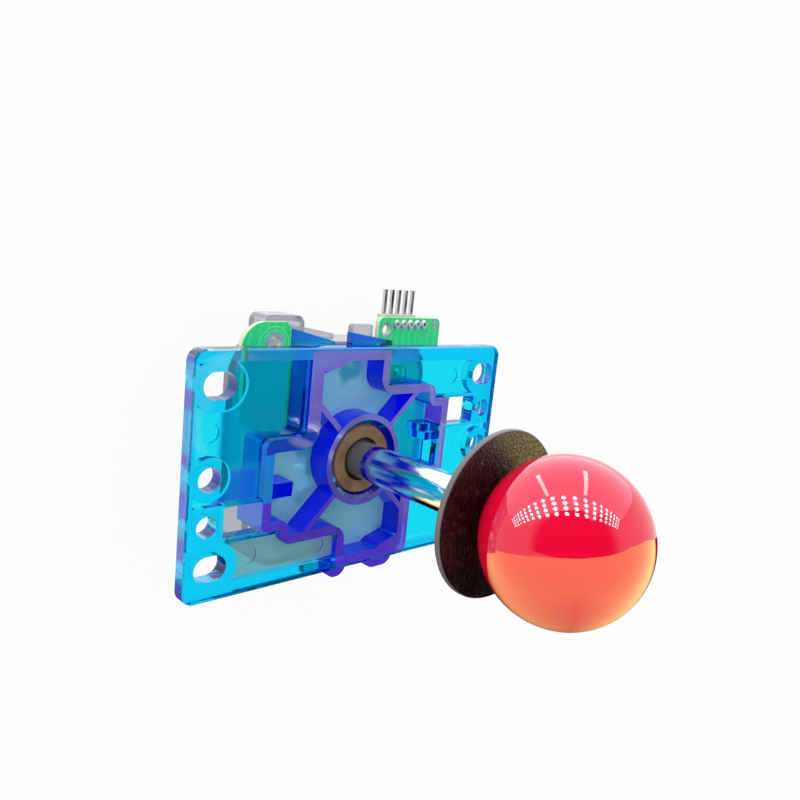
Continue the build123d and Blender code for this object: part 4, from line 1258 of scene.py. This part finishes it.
@dataclass
class BoardPrint:
    """Flat print, pads and solder on the front of the circuit board, in millimetres."""

    shelf: FinishShelf
    level: float = -9.2 * MM
    lift: float = 0.02 * MM
    pads: tuple[Pad, ...] = (
        Pad((-23.3, 28.7), 1.72, 2.5),
        Pad((12.0, 32.2), 1.42, 1.95),
        Pad((30.2, 33.8), 0.45, 1.15, 1.5),
    )
    pad_sides: int = 48
    header_x: float = 20.5
    header_y: float = 33.8
    pitch: float = 2.54
    pins: int = 5
    oval: Point = (1.08, 1.45, 0.5)
    oval_drop: float = 0.25
    oval_sides: int = 24
    oval_rows: int = 12
    track_start: Spot = (0.0, -1.2)
    track_end: Spot = (-0.6, -4.4)
    track_width: float = 0.45

    def printed(self, x: float, y: float) -> Point:
        """Point of the print in metres."""
        return (x * MM, y * MM, self.level + self.lift)

    def ring(self, builder: MeshBuilder, pad: Pad) -> None:
        """Adds a flat ring.

        Args:
            builder: Mesh to add to.
            pad: Sizes of the ring.
        """
        rows = []
        for radius in (pad.inner, pad.outer):
            row = []
            for index in range(self.pad_sides):
                turn = 2 * math.pi * index / self.pad_sides
                x = pad.spot[0] + radius * math.cos(turn)
                y = pad.spot[1] + radius * math.sin(turn) * pad.stretch
                row.append(builder.verts.new(self.printed(x, y)))
            rows.append(row)
        inner, outer = rows
        for index in range(self.pad_sides):
            after = (index + 1) % self.pad_sides
            builder.faces.new((inner[index], outer[index], outer[after], inner[after]))

    def track(self, x: float) -> list[Point]:
        """Finds the corners of a track.

        Args:
            x: Place of its pin along the header.

        Returns:
            Its four corners in metres.
        """
        start = Vector((x + self.track_start[0], self.header_y + self.track_start[1]))
        end = Vector((x + self.track_end[0], self.header_y + self.track_end[1]))
        along = end - start
        side = Vector((-along.y, along.x)).normalized() * (self.track_width / 2)
        corners = (start + side, start - side, end - side, end + side)
        return [self.printed(*corner) for corner in corners]

    def blob(self, builder: MeshBuilder, x: float) -> None:
        """Adds a domed oval of solder, ring by ring from its top and flat below.

        Args:
            builder: Mesh to add to.
            x: Place of its pin along the header.
        """
        base = Vector((x * MM, (self.header_y - self.oval_drop) * MM, self.level))
        width, length, height = (half * MM for half in self.oval)
        rows = []
        for lean in (math.pi * row / self.oval_rows for row in range(self.oval_rows + 1)):
            pole = len(rows) in (0, self.oval_rows)
            out, up = (0.0 if pole else math.sin(lean)), max(height * math.cos(lean), 0.0)
            row = []
            for side in range(1 if pole else self.oval_sides):
                turn = 2 * math.pi * side / self.oval_sides
                edge = Vector((width * out * math.cos(turn), length * out * math.sin(turn), up))
                row.append(builder.verts.new(base + edge))
            rows.append(row)
        for first, second in zip(rows, rows[1:]):
            for side in range(self.oval_sides):
                after = (side + 1) % self.oval_sides
                places = ((first, side), (first, after), (second, after), (second, side))
                corners = dict.fromkeys(row[place % len(row)] for row, place in places)
                builder.faces.new(tuple(corners))

    def build(self) -> list[Piece]:
        """Builds the pads, the tracks to the pins and the solder on them.

        Returns:
            The new pieces.
        """
        first = self.header_x - (self.pins - 1) / 2 * self.pitch
        places = [first + index * self.pitch for index in range(self.pins)]
        pads, blobs = bmesh.new(), bmesh.new()
        for pad in self.pads:
            self.ring(pads, pad)
        for x in places:
            self.blob(blobs, x)
        pieces = []
        for name, builder, finish in (
            ("board_pads", pads, Finish.SOLDER),
            ("board_tracks", flat_faces([self.track(x) for x in places]), Finish.BOARD),
            ("header_solder", blobs, Finish.SOLDER),
        ):
            piece = mesh_piece(name, builder, smooth=builder is blobs)
            self.shelf.dress(piece, finish.slot)
            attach(piece, "housing")
            pieces.append(piece)
        return pieces


@dataclass
class PackedNodes:
    """Pieces that come from the CAD model and keep their shape."""

    shelf: FinishShelf
    frame: dict[str, Any]

    def dress(self) -> int:
        """Gives every node the finish of its slot.

        Returns:
            Number of nodes dressed.
        """
        slots = {part["node"]: part["material_slot"] for part in self.frame["record"]["subparts"]}
        for node, piece in self.frame["nodes"].items():
            self.shelf.dress(piece, slots[node])
            piece.visible_shadow = slots[node] not in (Finish.CLEAR_BLUE.slot, Finish.SMOKE.slot)
        return len(slots)


@dataclass(frozen=True)
class SoftLamp:
    """Square lamp of the room, with its power in watts and its width in metres."""

    name: str
    spot: Point
    power: float
    colour: Rgb
    width: float = 0.5


@dataclass
class Studio:
    """White room with soft light, a floor and the photo's camera.

    Spots of lamps and cards lie along the picture's right, up and towards the camera, in metres.
    """

    nodes: dict[str, Piece]
    eye: Point = (-0.12836844, 0.05323006, 0.14509227)
    right: Point = (0.73120381, 0.10213693, 0.67446945)
    down: Point = (-0.05359128, -0.97707076, 0.20605996)
    ahead: Point = (0.68005071, -0.18681751, -0.70896421)
    lens: float = 35.1276
    sensor: float = 36.0
    nearest: float = 0.01
    middle: Point = (0.0, 0.0, 30.0 * MM)
    ball: Point = (0.0, 0.0, 62.8 * MM)
    room_level: float = 0.72
    dark_way: Point = (-0.680, 0.187, 0.709)
    dark_cone: Spot = (0.46, 0.70)
    dark_share: float = 0.96
    floor_level: float = -26.1 * MM
    floor_size: float = 3.0
    floor_grey: Rgb = (0.9, 0.9, 0.9)
    floor_white: float = 0.93
    lamps: tuple[SoftLamp, ...] = (
        SoftLamp("key", (-0.25, 0.55, 0.45), 2.8, (1.0, 0.99, 0.97)),
        SoftLamp("fill", (0.6, 0.1, 0.4), 0.9, (0.96, 0.98, 1.0)),
    )
    box_up: float = 0.36
    box_edge: tuple[Spot, ...] = ((-0.75, 0.32), (0.75, 0.32), (0.75, -0.75), (-0.75, -0.75))
    box_colour: Rgb = (0.80, 0.84, 1.0)
    box_glow: float = 2.1
    strip_up: float = 0.34
    strip_half: float = 0.012
    strip_left: tuple[Spot, Spot] = ((-0.145, 0.10), (-0.122, -0.16))
    strip_right: tuple[Spot, Spot] = ((0.111, 0.13), (0.133, -0.14))
    strip_glow: float = 9.0
    table_up: float = -0.0186
    table_edge: tuple[Spot, ...] = (
        (0.07, 0.12),
        (0.05, 0.12),
        (-0.03, 0.112),
        (-0.075, 0.085),
        (-0.1, 0.04),
        (-0.107, -0.02),
        (-0.107, -0.12),
        (0.07, -0.12),
    )
    table_end: tuple[Spot, ...] = ((0.6, 0.12), (0.07, 0.12), (0.07, -0.12), (0.6, -0.12))
    table_colour: Rgb = (1.0, 0.80, 0.32)
    table_glow: float = 3.4
    # the table card's glow comes up away from the ball: a painted shadow of the ball on the table
    ball_shadow_fade: Spot = (-0.004, 0.032)
    table_side: float = 0.9
    side_way: Point = (0.680, -0.187, 0.709)
    side_far: float = 0.5
    side_half: float = 0.24
    side_hidden: tuple[str, ...] = (
        "body_housing", "restrictor_cover", "header_pins", "pivot_bush"
    )
    flag_turns: tuple[float, ...] = (100.0, 190.0, 315.0)
    flag_far: float = 0.9
    flag_share: float = 0.13
    bar_start: Point = (-0.80, 0.29, 0.07)
    bar_end: Point = (0.64, 0.29, 0.33)
    bar_step: Point = (0.0, 0.54, -0.84)
    bar_columns: int = 20
    bar_rows: int = 4
    bar_pitch: float = 0.046
    bar_lamp: float = 0.017
    bar_sides: int = 12
    bar_colour: Rgb = (0.95, 0.93, 1.0)
    bar_glow: float = 22.0

    def room(self, base: Point, spot: Sequence[float]) -> Vector:
        """Finds a point of the room.

        Args:
            base: Point to measure from.
            spot: Distances along the picture's right, up and towards the camera.

        Returns:
            The point.
        """
        right, up, near = spot
        axes = Matrix((self.right, self.down, self.ahead)).transposed()
        return Vector(base) + axes @ Vector((right, -up, -near))

    def camera(self) -> None:
        """Sets the camera at the photo's place."""
        lens = bpy.data.cameras.new("camera")
        lens.lens = self.lens
        lens.sensor_width = self.sensor
        lens.clip_start = self.nearest
        eye = bpy.data.objects.new("camera", lens)
        axes = (self.right, opposite(self.down), opposite(self.ahead))
        eye.matrix_world = Matrix.Translation(self.eye) @ Matrix(axes).transposed().to_4x4()
        bpy.context.scene.collection.objects.link(eye)
        bpy.context.scene.camera = eye

    def seen(self, sheet: NodeSheet) -> Socket:
        """Finds the rays that show the white room: direct, through clear plastic or mirrored.

        Args:
            sheet: Node sheet of the floor or the world.

        Returns:
            Socket that is 1 for these rays.
        """
        rays = sheet.add("ShaderNodeLightPath", {}).outputs
        kinds = ("Is Camera Ray", "Is Transmission Ray", "Is Glossy Ray")
        return sheet.either(*(rays[kind] for kind in kinds))

    def world(self) -> None:
        """Makes a room that is white to look at, with plain light and a dark screen for gloss."""
        room = bpy.data.worlds.new("room")
        room.use_nodes = True
        bpy.context.scene.world = room
        sheet = NodeSheet(room.node_tree)
        level = sheet.spread(self.seen(sheet), UNIT, self.room_level, 1.0)
        towards = sheet.add("ShaderNodeTexCoord", {}).outputs["Generated"]
        mirrored = sheet.add("ShaderNodeLightPath", {}).outputs["Is Glossy Ray"]
        cone = sheet.fade(sheet.measure("DOT_PRODUCT", towards, self.dark_way), *self.dark_cone)
        level = sheet.every(level, sheet.rest(sheet.every(cone, mirrored, self.dark_share)))
        back = sheet.add("ShaderNodeBackground", {"Color": WHITE, "Strength": level})
        sheet.add("ShaderNodeOutputWorld", {"Surface": back.outputs[0]})

    def floor(self) -> None:
        """Lays a white floor under the lever's tail, which keeps a faint shadow."""
        builder = bmesh.new()
        bmesh.ops.create_grid(builder, x_segments=1, y_segments=1, size=self.floor_size)
        ground = mesh_piece("floor", builder)
        ground.location.z = self.floor_level
        material, sheet = new_sheet("floor_white")
        matte = sheet.add("ShaderNodeBsdfDiffuse", {"Color": self.floor_grey})
        glow = sheet.add("ShaderNodeEmission", {"Color": WHITE, "Strength": 1.0})
        share = sheet.every(self.seen(sheet), self.floor_white)
        inputs = {0: share, 1: matte.outputs[0], 2: glow.outputs[0]}
        sheet.finish(sheet.add("ShaderNodeMixShader", inputs))
        ground.data.materials.append(material)
        ground.visible_glossy = False

    def card(
        self,
        name: str,
        faces: Sequence[Sequence[Vector]],
        colour: Rgb,
        strength: float,
        shown: Optional[Sequence[str]] = None,
        rise: Optional[Spot] = None,
    ) -> None:
        """Hangs a glowing card that only gloss shows.

        Args:
            name: Name of the card.
            faces: Corners of each of its faces, in order.
            colour: Colour of its glow.
            strength: Strength of its glow.
            shown: Nodes that it shines on alone, so that the others mirror it as black.
            rise: Distances from the ball, to the front and sides, between which the glow comes up;
                the dim glow near the ball is a painted shadow of the ball.
        """
        card = mesh_piece(name, flat_faces(faces))
        material, sheet = new_sheet(name)
        level = strength
        if rise is not None:
            # fade the glow near the ball: a painted shadow of the ball on the table
            offset = sheet.vector("SUBTRACT", sheet.place(), self.ball)
            near = sheet.measure("DOT_PRODUCT", offset, opposite(self.ahead))
            aside = sheet.math("ABSOLUTE", sheet.measure("DOT_PRODUCT", offset, self.right))
            away = sheet.math("ADD", near, sheet.every(aside, self.table_side))
            level = sheet.every(sheet.fade(away, *rise), strength)
        sheet.finish(sheet.add("ShaderNodeEmission", {"Color": colour, "Strength": level}))
        card.data.materials.append(material)
        for ray in ("camera", "diffuse", "transmission", "volume_scatter", "shadow"):
            setattr(card, "visible_" + ray, False)
        if shown is not None:
            group = bpy.data.collections.new(name + "_light")
            for node in shown:
                group.objects.link(self.nodes[node])
            card.light_linking.receiver_collection = group

    def level_card(self, edge: Sequence[Spot], up: float) -> list[list[Vector]]:
        """Face of a level card at a height from the ball, from its edge to the right and near."""
        return [[self.room(self.ball, (right, up, near)) for right, near in edge]]

    def lights_above(self) -> None:
        """Hangs the soft box and two strip lamps over the ball."""
        box = self.level_card(self.box_edge, self.box_up)
        self.card("soft_box", box, self.box_colour, self.box_glow)
        strips = (("strip_left", self.strip_left), ("strip_right", self.strip_right))
        for name, (near, far) in strips:
            sides = ((near, -1), (near, 1), (far, 1), (far, -1))
            edge = [(spot[0] + sign * self.strip_half, spot[1]) for spot, sign in sides]
            self.card(name, self.level_card(edge, self.strip_up), WHITE, self.strip_glow)

    def table(self, lit: tuple[str, ...]) -> None:
        """Lays the warm table card under the ball, whose far end the washer mirrors too; its glow
        fades near the ball as a painted shadow of the ball.

        Args:
            lit: Nodes that both parts of the card shine on.
        """
        parts = (
            ("table_card", self.table_edge, lit),
            ("table_end", self.table_end, (*lit, "dust_washer")),
        )
        for name, edge, shown in parts:
            face = self.level_card(edge, self.table_up)
            self.card(name, face, self.table_colour, self.table_glow, shown, self.ball_shadow_fade)

    def screens(self) -> None:
        """Hangs a screen that the plate mirrors dark and flags that the shaft mirrors dark."""
        way = Vector(self.side_way)
        middle = way * self.side_far
        flat = way.cross(Vector((0.0, 0.0, 1.0))).normalized() * self.side_half
        rise = flat.cross(way)
        corners = ((1, 1), (-1, 1), (-1, -1), (1, -1))
        screen = [middle + flat * side + rise * up for side, up in corners]
        shown = [node for node in self.nodes if node not in self.side_hidden]
        self.card("side_screen", [screen], WHITE, 1.0, shown)
        shown = [node for node in self.nodes if node != "lever_shaft"]
        low, high = Vector((0.0, 0.0, self.floor_level)), Vector((0.0, 0.0, self.flag_far))
        for index, turn in enumerate(math.radians(degrees) for degrees in self.flag_turns):
            out = Vector((math.cos(turn), math.sin(turn), 0.0)) * self.flag_far
            side = Vector((-out.y, out.x, 0.0)) * self.flag_share
            flag = [out - side + low, out + side + low, out + side + high, out - side + high]
            self.card("flag_%d" % index, [flag], WHITE, 1.0, shown)

    def lamp_bar(self, lit: tuple[str, ...]) -> None:
        """Hangs a bar with rows of small round lamps that gloss shows as a dotted arc.

        Args:
            lit: Nodes that it shines on.
        """
        start, end, step = Vector(self.bar_start), Vector(self.bar_end), Vector(self.bar_step)
        along = (end - start).normalized()
        turns = [2 * math.pi * corner / self.bar_sides for corner in range(self.bar_sides)]
        edges = [along * math.cos(turn) + step * math.sin(turn) for turn in turns]
        faces = []
        for column in range(self.bar_columns):
            for row in range(self.bar_rows):
                spot = start.lerp(end, column / (self.bar_columns - 1))
                spot += step * (self.bar_pitch * (row - (self.bar_rows - 1) / 2))
                lamp = [spot + self.bar_lamp * edge for edge in edges]
                faces.append([self.room(self.ball, corner) for corner in lamp])
        self.card("lamp_bar", faces, self.bar_colour, self.bar_glow, lit)

    def lamp(self, lamp: SoftLamp) -> None:
        """Hangs a soft lamp that faces the object.

        Args:
            lamp: Sizes of the lamp.
        """
        data = bpy.data.lights.new(lamp.name, "AREA")
        data.size = lamp.width
        data.energy = lamp.power
        data.color = lamp.colour
        piece = bpy.data.objects.new(lamp.name, data)
        piece.location = self.room(self.middle, lamp.spot)
        piece.visible_glossy = False
        towards = Vector(self.middle) - piece.location
        piece.rotation_euler = towards.to_track_quat("-Z", "Y").to_euler()
        bpy.context.scene.collection.objects.link(piece)

    def build(self) -> None:
        """Sets up the whole room."""
        lit = ("ball_knob", "lever_shaft")
        self.camera()
        self.world()
        self.floor()
        self.lights_above()
        self.table(lit)
        self.screens()
        self.lamp_bar(lit)
        for lamp in self.lamps:
            self.lamp(lamp)
        bpy.context.scene.view_settings.view_transform = "Standard"


def main() -> None:
    """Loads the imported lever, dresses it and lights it."""
    logging.basicConfig(level=logging.INFO, format="%(name)s: %(message)s")
    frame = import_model()
    shelf = FinishShelf()
    LOG.info("dressed %d packed nodes", PackedNodes(shelf, frame).dress())
    for assembly in (ReturnSpring(shelf), SwitchLeaves(shelf), BoardPrint(shelf)):
        for piece in assembly.build():
            LOG.info("built %s", piece.name)
    Studio(frame["nodes"]).build()
    LOG.info("set up the room")


if __name__ == "__main__":
    main()
